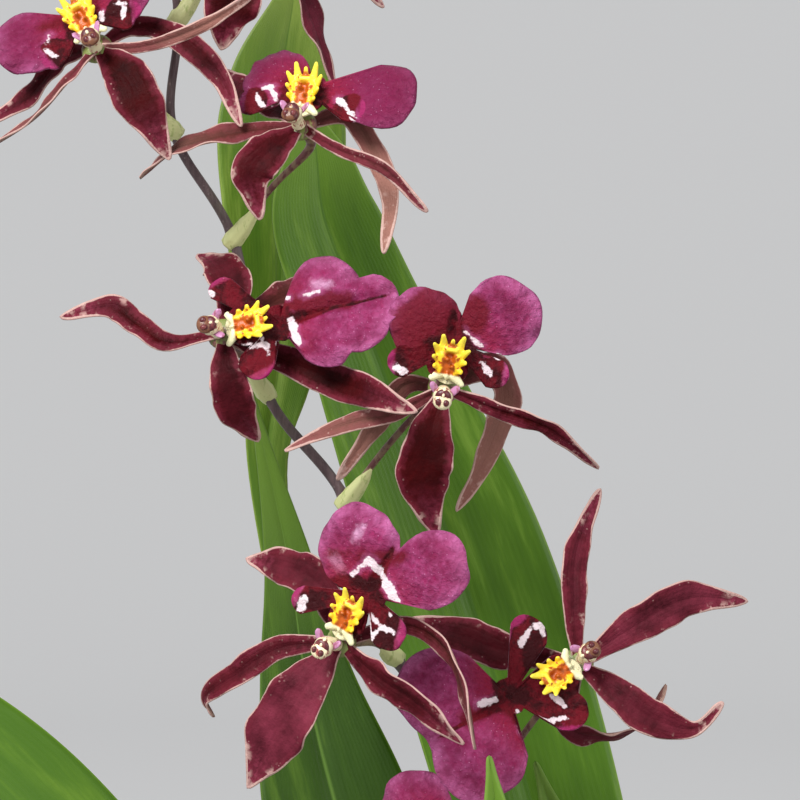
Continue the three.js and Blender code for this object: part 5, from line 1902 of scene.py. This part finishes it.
@dataclass
class CrestMaker:
    """The yellow crest, modelled once: teeth and ridges on a cream saddle, remeshed to one skin."""

    bench: Bench
    skin: float = 0.2
    level: float = 1.65
    sag: float = 0.25
    saddle_radius: float = 2.2
    teeth: tuple[Tooth, ...] = (
        Tooth((-1.1, 6.4, 2.5), (-1.9, 10.1, 5.0), 0.80, 0.24),
        Tooth((1.1, 6.3, 2.5), (2.1, 10.3, 5.1), 0.80, 0.24),
        Tooth((0.0, 6.6, 2.6), (0.1, 9.4, 4.6), 0.65, 0.24, 1.4),
        Tooth((-1.3, 5.9, 2.3), (-3.4, 8.2, 4.5), 0.75, 0.22),
        Tooth((1.3, 5.7, 2.3), (3.5, 7.9, 4.6), 0.75, 0.22),
        Tooth((-1.4, 4.9, 2.2), (-3.2, 5.9, 3.9), 0.55, 0.28),
        Tooth((1.4, 4.8, 2.2), (3.2, 5.5, 3.9), 0.55, 0.28),
        Tooth((-1.4, 3.9, 2.1), (-2.8, 4.0, 3.3), 0.55, 0.30),
        Tooth((1.4, 3.9, 2.1), (2.7, 3.5, 3.3), 0.55, 0.30),
        Tooth((-1.5, 2.4, 1.9), (-1.3, 6.9, 3.1), 0.70, 0.75, 1.0),
        Tooth((1.5, 2.4, 1.9), (1.3, 6.9, 3.1), 0.70, 0.75, 1.0),
        Tooth((-1.4, 7.4, 3.4), (1.4, 7.4, 3.4), 0.50, 0.50, 1.0),
        Tooth((-0.5, 5.3, 2.4), (-0.4, 5.6, 4.1), 0.50, 0.35, 1.0),
        Tooth((0.6, 4.2, 2.4), (0.7, 4.3, 3.7), 0.45, 0.30, 1.0),
        Tooth((-0.7, 3.1, 1.5), (-3.1, 1.3, 1.3), 0.95, 0.50, 1.1),
        Tooth((0.7, 3.1, 1.5), (3.4, 0.9, 1.4), 1.05, 0.45, 1.1),
        Tooth((-0.3, 2.6, 2.0), (0.3, 2.6, 2.0), 0.85, 0.85, 1.0),
    )

    def make(self) -> Object:
        """Models the crest at a thousand times its size, so that its fine skin stays exact.

        Returns:
            The crest, for every bloom to copy.
        """
        giant = Setting(np.zeros(3), np.eye(3) / MM)
        blank = bpy.data.materials.new("crest_blank")
        pieces = []
        for tooth in self.teeth:
            middle = (np.array(tooth.foot) + np.array(tooth.tip)) / 2
            middle[2] -= self.sag * (tooth.tip[2] - tooth.foot[2])
            pieces.append(self.bench.tube(
                [tooth.foot, tuple(middle), tooth.tip], tapering(tooth.thick, tooth.thin), blank, 12, 14,
                UPWARDS, tooth.breadth, (0.2, 0.1), giant,
            ))
        saddle = [(0, 5.2, self.level - 0.1), (0, 5.2, self.level + 1.0)]
        pieces.append(self.bench.tube(
            saddle, steady(self.saddle_radius), blank, 14, 24, LIPWARDS, ends=(0.4, 0.6), setting=giant
        ))
        whole = join(pieces)
        add_modifier(whole, "REMESH", mode="VOXEL", voxel_size=self.skin)
        add_modifier(whole, "SMOOTH", factor=0.5, iterations=2)
        points = points_of(whole)
        points[:, 2] = np.maximum(points[:, 2], self.level - 0.25)
        set_points(whole, points / MM)
        whole.data.materials.clear()
        return whole

@dataclass
class Foliage:
    """All the leaves."""

    bench: Bench
    thickness: float = 1.3
    clasp: float = 3.2

    def build(self) -> None:
        """Builds and mounts each leaf."""
        common = LeafFinish("leaf_satin").make()
        # Lighter and darker copies of the leaf finish, each matched to how brightly its leaf is lit: painted
        # light and shade
        special = {
            "leaf_tall_front": LeafFinish(
                "leaf_bright", body=(0.088, 0.200, 0.007), light=(0.19, 0.32, 0.040)
            ),
            # Its paler yellow-green body, highlight and tip: painted backlight
            "leaf_tall_back": LeafFinish(
                "leaf_yellowing", body=(0.100, 0.185, 0.010), light=(0.22, 0.31, 0.05), tip=(0.26, 0.34, 0.06)
            ),
            "leaf_left_narrow": LeafFinish(
                "leaf_dark", body=(0.032, 0.082, 0.003), shade=(0.014, 0.042, 0.001),
                light=(0.085, 0.16, 0.012), midrib=(0.13, 0.24, 0.04), midrib_share=0.6,
            ),
            "leaf_left_arching": LeafFinish(
                "leaf_near", body=(0.060, 0.140, 0.004), light=(0.12, 0.22, 0.014)
            ),
        }
        for index, plan in enumerate(LEAVES):
            material = special[plan.name].make() if plan.name in special else common
            cut = Cut(
                keel=plan.keel, ripples=2.3, midrib=0.55, midrib_spread=0.9, thickness=self.thickness,
                rim_share=0.3, rows=110, columns=22, tip_start=0.985, crowding=1.2,
            )
            stations = self.sunk(plan.stations) if plan.stations[0][2] > BARK_TOP else plan.stations
            blade = Blade(stations, plan.roll)
            piece = self.bench.blade(blade, plan.face, cut, (material, material), seed=0.17 * index)
            mount(piece, f"blade_of_{plan.name}", Slot.LEAF, plan.name)

    def sunk(self, stations: tuple[Station, ...]) -> tuple[Station, ...]:
        """A leaf's stations with its base drawn down into the bulb that it grows from.

        Args:
            stations: the stations, from base to tip.

        Returns:
            The stations with the first one lower.
        """
        base, above = (np.array(station[:3], float) for station in stations[:2])
        lower = base - self.clasp * unit(above - base)
        return ((*lower, stations[0][3]), *stations[1:])


@dataclass
class Spike:
    """The flower spike: its jointed stem, pedicels with ovaries, bracts and buds."""

    bench: Bench
    finishes: dict[str, Material]
    foot_radius: float = 1.35
    tip_radius: float = 0.6
    joint_swelling: float = 0.45
    pedicel_radius: float = 0.72
    pedicel_straight: float = 9.0
    bract_length: float = 8.6
    bract_thickness: float = 0.35

    def build(self) -> None:
        """Builds and mounts the spike and its buds."""
        pieces = [self.make_stem()]
        for plan in BLOOMS:
            pieces.extend(self.make_branch(plan))
        for joint, foot, _, _ in BUDS:
            pieces.extend(self.make_bud_branch(joint, foot))
        mount(join(pieces), "spike_stem", Slot.STEM, "spike")
        for number, (_, foot, tip, half) in enumerate(BUDS, start=1):
            mount(self.make_bud(foot, tip, half), f"closed_bud_{number}", Slot.BUD, f"bud_{number}")

    def make_stem(self) -> Object:
        """Makes the stem, a little swollen at each joint.

        Returns:
            The stem.
        """
        knots = (*SPIKE_FOOT, *SPIKE_JOINTS)
        joints = [(len(SPIKE_FOOT) + index) / (len(knots) - 1) for index in range(len(SPIKE_JOINTS))]
        joints.extend((0.07, 0.13, 0.2))

        def radius(share: Numbers, angle: Numbers) -> Numbers:
            """The stem's radius, with its swollen joints.

            Args:
                share: how far along each point lies, from 0 to 1.
                angle: how far round, in radians; not used.

            Returns:
                The radius at each point.
            """
            size = self.foot_radius + (self.tip_radius - self.foot_radius) * share
            for joint in joints:
                size = size + self.joint_swelling * bell(share, joint, 0.004)
            return size

        return self.bench.tube(
            knots, radius, self.finishes["stem"], rows=420, columns=18, ends=(0.002, 0.003)
        )

    def make_branch(self, plan: BloomPlan) -> list[Object]:
        """Makes a bloom's pedicel with its ovary, and the bract below it.

        Args:
            plan: the plan of the bloom that it carries.

        Returns:
            Both pieces.
        """
        setting = Setting.of(plan)
        out = setting.axes[2]
        start = np.array(SPIKE_JOINTS[plan.joint], float)
        end = setting.heart - 2.6 * out
        behind = setting.heart - self.pedicel_straight * out
        middle = (start + behind) / 2 + UPWARDS

        def radius(share: Numbers, angle: Numbers) -> Numbers:
            """The pedicel's radius, with its ribbed ovary."""
            ovary = 0.3 * smooth_step(share, 0.4, 0.8)
            return (self.pedicel_radius - 0.08 + ovary) * (1 + 0.07 * np.cos(3 * angle) * (share > 0.3))

        pedicel = self.bench.tube(
            [start, middle, behind, end], radius, self.finishes["pedicel"], rows=40, columns=18,
            ends=(0.03, 0.03),
        )
        return [pedicel, self.make_bract(start, middle - start, plan.joint)]

    def make_bud_branch(self, joint: int, foot: Triple) -> list[Object]:
        """Makes a bud's pedicel and the bract below it, which the topmost bud lacks.

        Args:
            joint: the joint's number.
            foot: the bud's foot.

        Returns:
            The pieces.
        """
        start = np.array(SPIKE_JOINTS[joint], float)
        end = np.array(foot, float)
        middle = (start + end) / 2 - UPWARDS
        end = end + (start - end) * 0.3 / np.linalg.norm(start - end)
        pieces = [self.bench.tube([start, middle, end], steady(0.8), self.finishes["pedicel"], 20, 12)]
        if joint < len(SPIKE_JOINTS) - 1:
            pieces.append(self.make_bract(start, middle - start, joint))
        return pieces

    def make_bract(self, joint: Numbers, direction: Numbers, number: int) -> Object:
        """The pale bract: a hood that clasps a joint and the foot of its pedicel.

        Args:
            joint: where the pedicel leaves the stem.
            direction: the way that it leaves.
            number: the joint's number, which shifts the hood's shape a little.

        Returns:
            The bract.
        """
        piece = self.bench.sheet(26, 20)
        share, side = laid_out(piece)
        along = unit(direction)
        knots = [joint - 1.6 * along, joint + 3.2 * along - 0.5 * UPWARDS, joint + self.bract_length * along]
        rail = Rail(knots, (0.0, -0.85, -0.5))
        stations = (0, 0.22, 0.55, 0.85, 1)
        angle = side * np.interp(share, stations, (2.6, 2.3, 1.9, 1.1, 0.3))
        radius = np.interp(share, stations, (1.45, 1.75, 1.40, 0.95, 0.55))
        radius = radius * (1 + 0.05 * np.cos(7 * angle + number))
        set_points(piece, rail.beside(share, radius * np.sin(angle), radius * np.cos(angle)))
        dress(piece, self.finishes["bract"])
        add_wall(piece, self.bract_thickness)
        return piece

    def make_bud(self, foot: Triple, tip: Triple, half: float) -> Object:
        """Makes a closed bud: three sepals that meet in shallow seams.

        Args:
            foot: its foot.
            tip: its tip.
            half: its greatest half width.

        Returns:
            The bud.
        """
        def radius(share: Numbers, angle: Numbers) -> Numbers:
            """The bud's radius, less along its seams.

            Args:
                share: how far along each point lies, from 0 to 1.
                angle: how far round, in radians.

            Returns:
                The radius at each point.
            """
            arch = np.sin(np.pi * (0.04 + 0.9 * share**0.85))
            size = half * (0.22 + 0.78 * arch)
            seam = np.abs(np.sin(1.5 * angle + 0.9 * share)) ** 0.5
            return size * (0.9 + 0.1 * seam)

        return self.bench.tube(
            [foot, tip], radius, self.finishes["bud"], rows=48, columns=48, ends=(0.06, 0.14)
        )


@dataclass
class Growth:
    """The pseudobulbs with their dry sheaths, the creeping rhizome and the surface roots."""

    bench: Bench
    finishes: dict[str, Material]
    top_radius: float = 4.6
    ridge_count: int = 9
    ridge_height: float = 0.035
    root_radius: float = 1.5
    sheath_thickness: float = 0.3
    rhizome_radius: float = 4.0
    rhizome_order: tuple[int, ...] = (3, 0, 1, 2)

    def build(self) -> None:
        """Builds and mounts the growth as one piece."""
        pieces = []
        for number, (foot, top, half, turn) in enumerate(BULBS):
            pieces.append(self.make_bulb(foot, top, half, turn))
            pieces.extend(self.make_sheaths(number, foot, top, half, turn))
        for number, knots in enumerate(ROOTS):
            pieces.append(self.make_root(number, knots))
        path = [(*BULBS[index][0][:2], BARK_TOP - 1) for index in self.rhizome_order]
        pieces.append(self.bench.tube(path, self.ringed, self.finishes["sheath"], 90, 18, UPWARDS))
        mount(join(pieces), "bulbs_and_roots", Slot.BULB, "pseudobulbs")

    def ringed(self, share: Numbers, angle: Numbers) -> Numbers:
        """The rhizome's ringed radius."""
        return self.rhizome_radius * (0.94 + 0.06 * np.abs(np.sin(60 * share)))

    def swelling(self, share: Numbers, narrow: float) -> Numbers:
        """A bulb's narrow half width along its length."""
        arch = np.sin(np.pi * (0.17 + 0.76 * np.clip(share, 0, 1) ** 0.85))
        return narrow * np.maximum(arch, self.top_radius / narrow)

    def facing(self, turn: float) -> Numbers:
        """The way that a bulb's narrow side looks."""
        angle = math.radians(turn)
        return np.array([math.sin(angle), -math.cos(angle), 0.0])

    def make_bulb(self, foot: Triple, top: Triple, half: tuple[float, float], turn: float) -> Object:
        """Makes one flattened bulb with soft lengthwise ridges.

        Args:
            foot: the middle of its foot.
            top: the middle of its flat top.
            half: its broad and narrow half widths.
            turn: its turn about the vertical in degrees.

        Returns:
            The bulb.
        """
        broad, narrow = half

        def radius(share: Numbers, angle: Numbers) -> Numbers:
            """The bulb's narrow half width, with its ridges."""
            ridges = np.cos(self.ridge_count * angle) * np.sin(np.pi * np.clip(share, 0, 1))
            return self.swelling(share, narrow) * (1 + self.ridge_height * (ridges - 1))

        return self.bench.tube(
            [foot, top], radius, self.finishes["bulb"], rows=60, columns=72, facing=self.facing(turn),
            breadth=broad / narrow, ends=(0.04, 0.05),
        )

    def make_sheaths(
        self, number: int, foot: Triple, top: Triple, half: tuple[float, float], turn: float
    ) -> list[Object]:
        """Makes two dry sheaths that hug the lower part of a bulb, with torn upper edges.

        Args:
            number: the bulb's number, which shifts the torn edges.
            foot: the middle of the bulb's foot.
            top: the middle of its flat top.
            half: its broad and narrow half widths.
            turn: its turn about the vertical in degrees.

        Returns:
            The sheaths.
        """
        broad, narrow = half
        rail = Rail([foot, top], self.facing(turn))
        pieces = []
        for side in range(2):
            piece = self.bench.sheet(26, 44)
            height, across = laid_out(piece)
            angle = math.pi * side + across * 1.9
            torn = 0.42 - 0.12 * side + 0.05 * np.sin(7 * across + number) + 0.03 * np.sin(19 * across)
            torn = torn - 0.22 * np.abs(across) ** 2
            share = 0.04 + height * (torn - 0.04)
            lift = 0.35 + 0.35 * side + 0.9 * height**4
            size = self.swelling(share, narrow) + lift
            set_points(piece, rail.beside(share, size * broad / narrow * np.cos(angle), size * np.sin(angle)))
            dress(piece, self.finishes["sheath"])
            add_wall(piece, self.sheath_thickness)
            pieces.append(piece)
        return pieces

    def make_root(self, number: int, knots: Sequence[Triple]) -> Object:
        """Makes one corky root, uneven along its length.

        Args:
            number: the root's number, which shifts its bumps.
            knots: the points that it runs through.

        Returns:
            The root.
        """
        def radius(share: Numbers, angle: Numbers) -> Numbers:
            """The root's uneven radius."""
            taper = self.root_radius * (1 - 0.45 * share)
            return taper * (1 + 0.06 * np.sin(37 * share + number) + 0.05 * np.sin(2 * angle + 11 * share))

        return self.bench.tube(knots, radius, self.finishes["root"], 60, 16, UPWARDS, ends=(0.03, 0.05))


@dataclass
class Pot:
    """The plain clay pot: a turned wall with a rim, and three drain holes cut in its floor."""

    bench: Bench
    rim_height: float = 14.0
    rim_proud: float = 3.0
    drain_radius: float = 5.0
    drain_ring: float = 28.0
    drain_count: int = 3
    rows: int = 190
    columns: int = 160

    def outside(self, level: float) -> float:
        """Radius of the pot's outside at a level."""
        return POT_BASE_RADIUS + (POT_TOP_RADIUS - POT_BASE_RADIUS) * level / POT_HEIGHT

    def profile(self) -> Numbers:
        """The wall's outline [radius, level], from the middle of its foot round to the inside's middle.

        Returns:
            The outline, one point a row.
        """
        foot = POT_HEIGHT - self.rim_height
        lip = self.outside(POT_HEIGHT) + self.rim_proud
        inner = self.outside(POT_HEIGHT) - POT_WALL
        corners = (
            (0, 0, 0), (POT_BASE_RADIUS, 0, 2.0), (self.outside(foot), foot, 1.2), (lip, foot, 1.5),
            (lip, POT_HEIGHT, 1.9), (inner, POT_HEIGHT, 1.9),
            (self.outside(POT_FLOOR) - POT_WALL, POT_FLOOR, 4.0), (0, POT_FLOOR, 0),
        )
        points = [np.array(corners[0][:2], float)]
        for before, corner, after in zip(corners[:-2], corners[1:-1], corners[2:]):
            here = np.array(corner[:2], float)
            back = unit(np.array(before[:2], float) - here)
            onward = unit(np.array(after[:2], float) - here)
            for share in np.linspace(0, 1, 6):
                start = here + back * corner[2]
                end = here + onward * corner[2]
                points.append((1 - share) ** 2 * start + 2 * share * (1 - share) * here + share**2 * end)
        points.append(np.array(corners[-1][:2], float))
        return np.array(points)

    def build(self) -> None:
        """Builds and mounts the pot."""
        piece = self.bench.sheet(self.rows, self.columns)
        even, round_it = laid_out(piece)
        profile = self.profile()
        travel = travel_along(profile)
        steps = np.linspace(0, 1, self.rows + 1)
        spaced = np.linspace(0, travel[-1], self.rows + 3 - len(travel))
        stops = np.unique(np.concatenate([travel, spaced]))
        marks = np.interp(steps, np.linspace(0, 1, len(stops)), stops)
        along = np.interp(even, steps, marks)
        radius = np.interp(along, travel, profile[:, 0])
        level = np.interp(along, travel, profile[:, 1])
        angle = np.pi * (round_it + 1)
        turned = 0.10 * np.sin(level * 1.15) + 0.12 * np.sin(2 * angle + 0.03 * level)
        side = smooth_step(level, 1.0, 6.0) * (radius > 30)
        radius = radius + turned * side - 0.12 * side
        set_points(piece, np.column_stack([radius * np.cos(angle), radius * np.sin(angle), level]))
        close_seams(piece)
        for index in range(self.drain_count):
            self.drill(piece, FULL_TURN * index / self.drain_count)
        dress(piece, ClayFinish().make())
        smooth_below(piece, 40)
        mount(piece, "clay_pot", Slot.POT, "pot")

    def drill(self, piece: Object, angle: float) -> None:
        """Cuts one drain hole with a peg.

        Args:
            piece: the pot.
            angle: the way from the pot's middle to the hole, in radians.
        """
        deselect()
        spot = (self.drain_ring * math.cos(angle) * MM, self.drain_ring * math.sin(angle) * MM, 2.5 * MM)
        bpy.ops.mesh.primitive_cylinder_add(
            vertices=40, radius=self.drain_radius * MM, depth=14 * MM, location=spot
        )
        peg = bpy.context.object
        add_modifier(piece, "BOOLEAN", operation="DIFFERENCE", solver="EXACT", object=peg)
        discard(peg)


@dataclass
class Bark:
    """The bark that fills the pot: a lumpy bed, the large bedded chips and a scatter of small ones."""

    bench: Bench
    chunk_count: int = 30
    small_count: int = 210
    spread: float = 46.0
    rim_radius: float = 55.0
    golden_angle: float = 2.4
    tilt: float = 0.7
    loose_tilt: float = 1.3
    loose_level: float = 100.5
    state: int = 11

    def random(self) -> float:
        """The next repeatable random number from 0 to 1."""
        self.state = (self.state * 1664525 + 1013904223) % 4294967296
        return self.state / 4294967296

    def between(self, low: float, high: float) -> float:
        """A random number from low to high."""
        return low + (high - low) * self.random()

    def make_chip_patterns(self) -> list[Object]:
        """Makes three rough chips, each a cube that is subdivided and roughened.

        Returns:
            The chips, one unit long.
        """
        patterns = []
        for seed in range(3):
            deselect()
            bpy.ops.mesh.primitive_cube_add(size=1)
            chip = bpy.context.object
            edit(chip, lambda: bpy.ops.mesh.subdivide(number_cuts=2, smoothness=0.35))
            points = points_of(chip)
            taper = 1 - 0.25 * points[:, :1] * (1 - seed)
            points = points + np.random.default_rng(seed).normal(0, 0.055, points.shape)
            points[:, 1:2] *= taper
            set_points(chip, points / MM)
            patterns.append(chip)
        return patterns

    def set_chip(self, pattern: Object, size: Triple, turns: Triple, place: Triple, tone: float) -> Object:
        """A copy of a chip at its size, turns and place.

        Args:
            pattern: the chip that is copied.
            size: its length, width and thickness.
            turns: its turns about X, Y and Z, in radians.
            place: its centre.
            tone: how pale its torn faces are, from 0 to 1.

        Returns:
            The chip.
        """
        chip = copy_of(pattern)
        local = points_of(chip) * np.array(size)
        note(chip, plan=local * np.array([0.12, 0.45, 1.1]) + 30 * tone, tone=tone)
        for axis, turn in enumerate(turns):
            first, second = ((1, 2), (2, 0), (0, 1))[axis]
            cosine, sine = math.cos(turn), math.sin(turn)
            one, two = local[:, first].copy(), local[:, second].copy()
            local[:, first] = cosine * one - sine * two
            local[:, second] = sine * one + cosine * two
        set_points(chip, local + np.array(place))
        return chip

    def make_bed(self) -> Object:
        """Makes the bed under the chips, closed, from the pot's floor to just under the surface.

        Returns:
            The bed.
        """
        piece = self.bench.sheet(60, 72)
        even, round_it = laid_out(piece)
        clear = POT_WALL + GAP
        top = POT_BASE_RADIUS + (POT_TOP_RADIUS - POT_BASE_RADIUS) * 98 / POT_HEIGHT - clear
        low = POT_BASE_RADIUS + 0.7 - clear
        outline = ((0, 5.4), (low - 2, 5.4), (low, 7.5), (top, 97), (top - 3, 99.5), (0, 100.5))
        profile = np.array(outline, float)
        travel = travel_along(profile)
        along = even * travel[-1]
        radius = np.interp(along, travel, profile[:, 0])
        level = np.interp(along, travel, profile[:, 1])
        angle = np.pi * (round_it + 1)
        x, y = radius * np.cos(angle), radius * np.sin(angle)
        lumps = np.sin(0.31 * x + 1) * np.sin(0.27 * y) + 0.6 * np.sin(0.83 * x) * np.sin(0.74 * y + 2)
        places = np.column_stack([x, y, level + 1.1 * lumps * smooth_step(level, 90, 99)])
        note(piece, tone=0, plan=places * 0.3)
        set_points(piece, places)
        close_seams(piece)
        return piece

    def build(self) -> None:
        """Builds and mounts the bark."""
        patterns = self.make_chip_patterns()
        pieces = [self.make_bed()]
        for index in range(self.chunk_count):
            size = (self.between(13, 21), self.between(8, 13), self.between(4, 6.5))
            tilts = ((self.random() - 0.5) * self.tilt, (self.random() - 0.5) * self.tilt)
            turns = (*tilts, self.random() * math.pi)
            reach = self.spread * math.sqrt((index + 0.5) / self.chunk_count)
            place = self.spot(reach, index * self.golden_angle, BARK_TOP + self.between(1, 2.5))
            pieces.append(self.set_chip(patterns[index % 3], size, turns, place, (index * 0.37) % 1))
        for index in range(self.small_count):
            size = (self.between(5, 12), self.between(3.5, 8), self.between(1.8, 4))
            tilts = ((self.random() - 0.5) * self.loose_tilt, (self.random() - 0.5) * self.loose_tilt)
            turns = (*tilts, self.random() * FULL_TURN)
            reach = self.rim_radius * math.sqrt(self.random()) - 0.45 * size[0] * self.random()
            place = self.spot(reach, self.random() * FULL_TURN, self.loose_level + 2.2 * self.random())
            pieces.append(self.set_chip(patterns[index % 3], size, turns, place, self.random()))
        discard(*patterns)
        whole = join(pieces)
        whole.data.materials.clear()
        dress(whole, BarkFinish().make())
        smooth_below(whole, 35)
        mount(whole, "bark_mix", Slot.BARK, "bark_fill")

    @staticmethod
    def spot(reach: float, angle: float, level: float) -> Triple:
        """A place at a distance from the pot's axis, an angle round it and a level."""
        return reach * math.cos(angle), reach * math.sin(angle), level


@dataclass(frozen=True)
class SweepFinish(Finish):
    """Faintly mottled pale paper."""

    name: str = "sweep_paper"
    paper: Triple = (0.90, 0.897, 0.895)
    dull: Triple = (0.85, 0.85, 0.85)

    def paint(self, shader: Shader) -> None:
        """Wires the material.

        Args:
            shader: the material's shader.
        """
        patches = shader.noise(shader.place((1.0, 1.0, 1.0)), 1.5, 2.0)
        colour = shader.tint(self.paper, self.dull, patches, 0.1)
        shader.surface(Base_Color=colour, Roughness=0.95, Specular_IOR_Level=0.1)


@dataclass
class Studio:
    """The camera at the photograph's angle, a pale sweep and soft light."""

    bench: Bench
    camera_metres: Triple = (-0.042, -0.830, 0.375)
    lens: float = 192.0
    sensor: float = 36.0
    sky: Triple = (0.60, 0.606, 0.615)
    sky_strength: float = 0.95
    key_watts: float = 37.0
    fill_watts: float = 7.0
    floor_reach: float = 4200.0
    wall_height: float = 3200.0
    bend: float = 1600.0

    def build(self) -> None:
        """Sets the camera, the sweep and the lights."""
        self.set_camera()
        self.set_sky()
        self.make_sweep()
        self.hang_lamp("key", (-0.75, -1.1, 1.35), 0.7, self.key_watts)
        self.hang_lamp("fill", (1.1, -1.0, 0.7), 0.9, self.fill_watts)
        bpy.context.scene.view_settings.view_transform = "Standard"

    def set_camera(self) -> None:
        """Sets the camera level, looking along +Y, where the photograph was taken from."""
        data = bpy.data.cameras.new("camera")
        data.lens = self.lens
        data.sensor_width = self.sensor
        camera = bpy.data.objects.new("camera", data)
        camera.location = self.camera_metres
        camera.rotation_euler = (math.radians(90), 0, 0)
        bpy.context.collection.objects.link(camera)
        bpy.context.scene.camera = camera

    def set_sky(self) -> None:
        """Sets the even pale light all round."""
        world = bpy.data.worlds.new("sky")
        world.use_nodes = True
        background = world.node_tree.nodes["Background"]
        background.inputs["Color"].default_value = (*self.sky, 1.0)
        background.inputs["Strength"].default_value = self.sky_strength
        bpy.context.scene.world = world

    def make_sweep(self) -> None:
        """Makes the pale floor that turns up into a wall far behind."""
        piece = self.bench.sheet(60, 96)
        even, round_it = laid_out(piece)
        quarter = self.bend * math.pi / 2
        run = even * (self.floor_reach + quarter + self.wall_height)
        turn = np.clip((run - self.floor_reach) / self.bend, 0, math.pi / 2)
        radius = np.minimum(run, self.floor_reach) + self.bend * np.sin(turn)
        level = self.bend * (1 - np.cos(turn)) + np.clip(run - self.floor_reach - quarter, 0, None)
        angle = np.pi * (round_it + 1)
        set_points(piece, np.column_stack([radius * np.cos(angle), radius * np.sin(angle), level]))
        edit(piece, merge_doubles)
        smooth(piece)
        dress(piece, SweepFinish().make())
        piece.name = "sweep"
        piece.visible_diffuse = False
        piece.visible_glossy = False
        piece.visible_shadow = False

    def hang_lamp(self, name: str, place: Triple, size: float, watts: float) -> None:
        """Hangs one soft lamp that looks at the plant's middle.

        Args:
            name: the lamp's name.
            place: where it hangs, in metres.
            size: its width in metres.
            watts: its power.
        """
        data = bpy.data.lights.new(name, "AREA")
        data.shape = "DISK"
        data.size = size
        data.energy = watts
        lamp = bpy.data.objects.new(name, data)
        lamp.location = place
        aim = np.array([-0.03, -0.02, 0.33]) - np.array(place)
        yaw = math.atan2(aim[1], aim[0]) - math.pi / 2
        pitch = math.atan2(aim[2], math.hypot(aim[0], aim[1])) + math.pi / 2
        lamp.rotation_euler = (pitch, 0, yaw)
        lamp.visible_camera = False
        bpy.context.collection.objects.link(lamp)


def make_finishes() -> dict[str, Material]:
    """Makes the finishes that several parts share.

    Returns:
        The materials, by name.
    """
    waxes = (
        WaxFinish("ovary", (0.20, 0.24, 0.06), (0.16, 0.06, 0.05), 0.5),
        WaxFinish("pedicel", (0.19, 0.115, 0.07), (0.115, 0.035, 0.035), 0.55),
        WaxFinish("bract", (0.60, 0.62, 0.28), (0.42, 0.48, 0.17), 0.25, roughness=0.5),
        WaxFinish("column", (0.74, 0.66, 0.42), (0.30, 0.05, 0.05), 0.3, scale=1.3),
        WaxFinish("cap_brown", (0.17, 0.065, 0.030), (0.075, 0.012, 0.012), 0.45),
        WaxFinish("cap_cell", (0.085, 0.010, 0.014), (0.16, 0.03, 0.03), 0.4),
        WaxFinish("wing", (0.46, 0.20, 0.36), (0.30, 0.09, 0.15), 0.35),
        WaxFinish("bud", (0.16, 0.055, 0.045), (0.10, 0.10, 0.035), 0.5, scale=0.3),
        WaxFinish("bulb", (0.20, 0.30, 0.055), (0.13, 0.22, 0.035), 0.5, scale=0.12,
                  stretch=(1000.0, 1000.0, 200.0)),
        WaxFinish("root", (0.50, 0.47, 0.38), (0.34, 0.36, 0.24), 0.5, roughness=0.8),
    )
    finishes = {finish.name: finish.make() for finish in waxes}
    others = {
        "tepal": TepalFinish(), "tepal_back": TepalBackFinish(), "lip": LipFinish(),
        "lip_back": LipBackFinish(), "crest": CrestFinish(), "stem": StemFinish(), "sheath": PaperFinish(),
    }
    finishes.update((name, finish.make()) for name, finish in others.items())
    return finishes


def main() -> None:
    """Builds the whole plant, part by part."""
    logging.basicConfig(level=logging.INFO, format="%(name)s %(message)s")
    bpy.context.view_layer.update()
    bench = Bench()
    Effects()
    finishes = make_finishes()
    Studio(bench).build()
    Pot(bench).build()
    Bark(bench).build()
    Growth(bench, finishes).build()
    Foliage(bench).build()
    Spike(bench, finishes).build()
    crest = CrestMaker(bench).make()
    for number, plan in enumerate(BLOOMS, start=1):
        Bloom(number, plan, bench, finishes, crest).build()
    discard(crest)
    bench.clear()


if __name__ == "__main__":
    main()
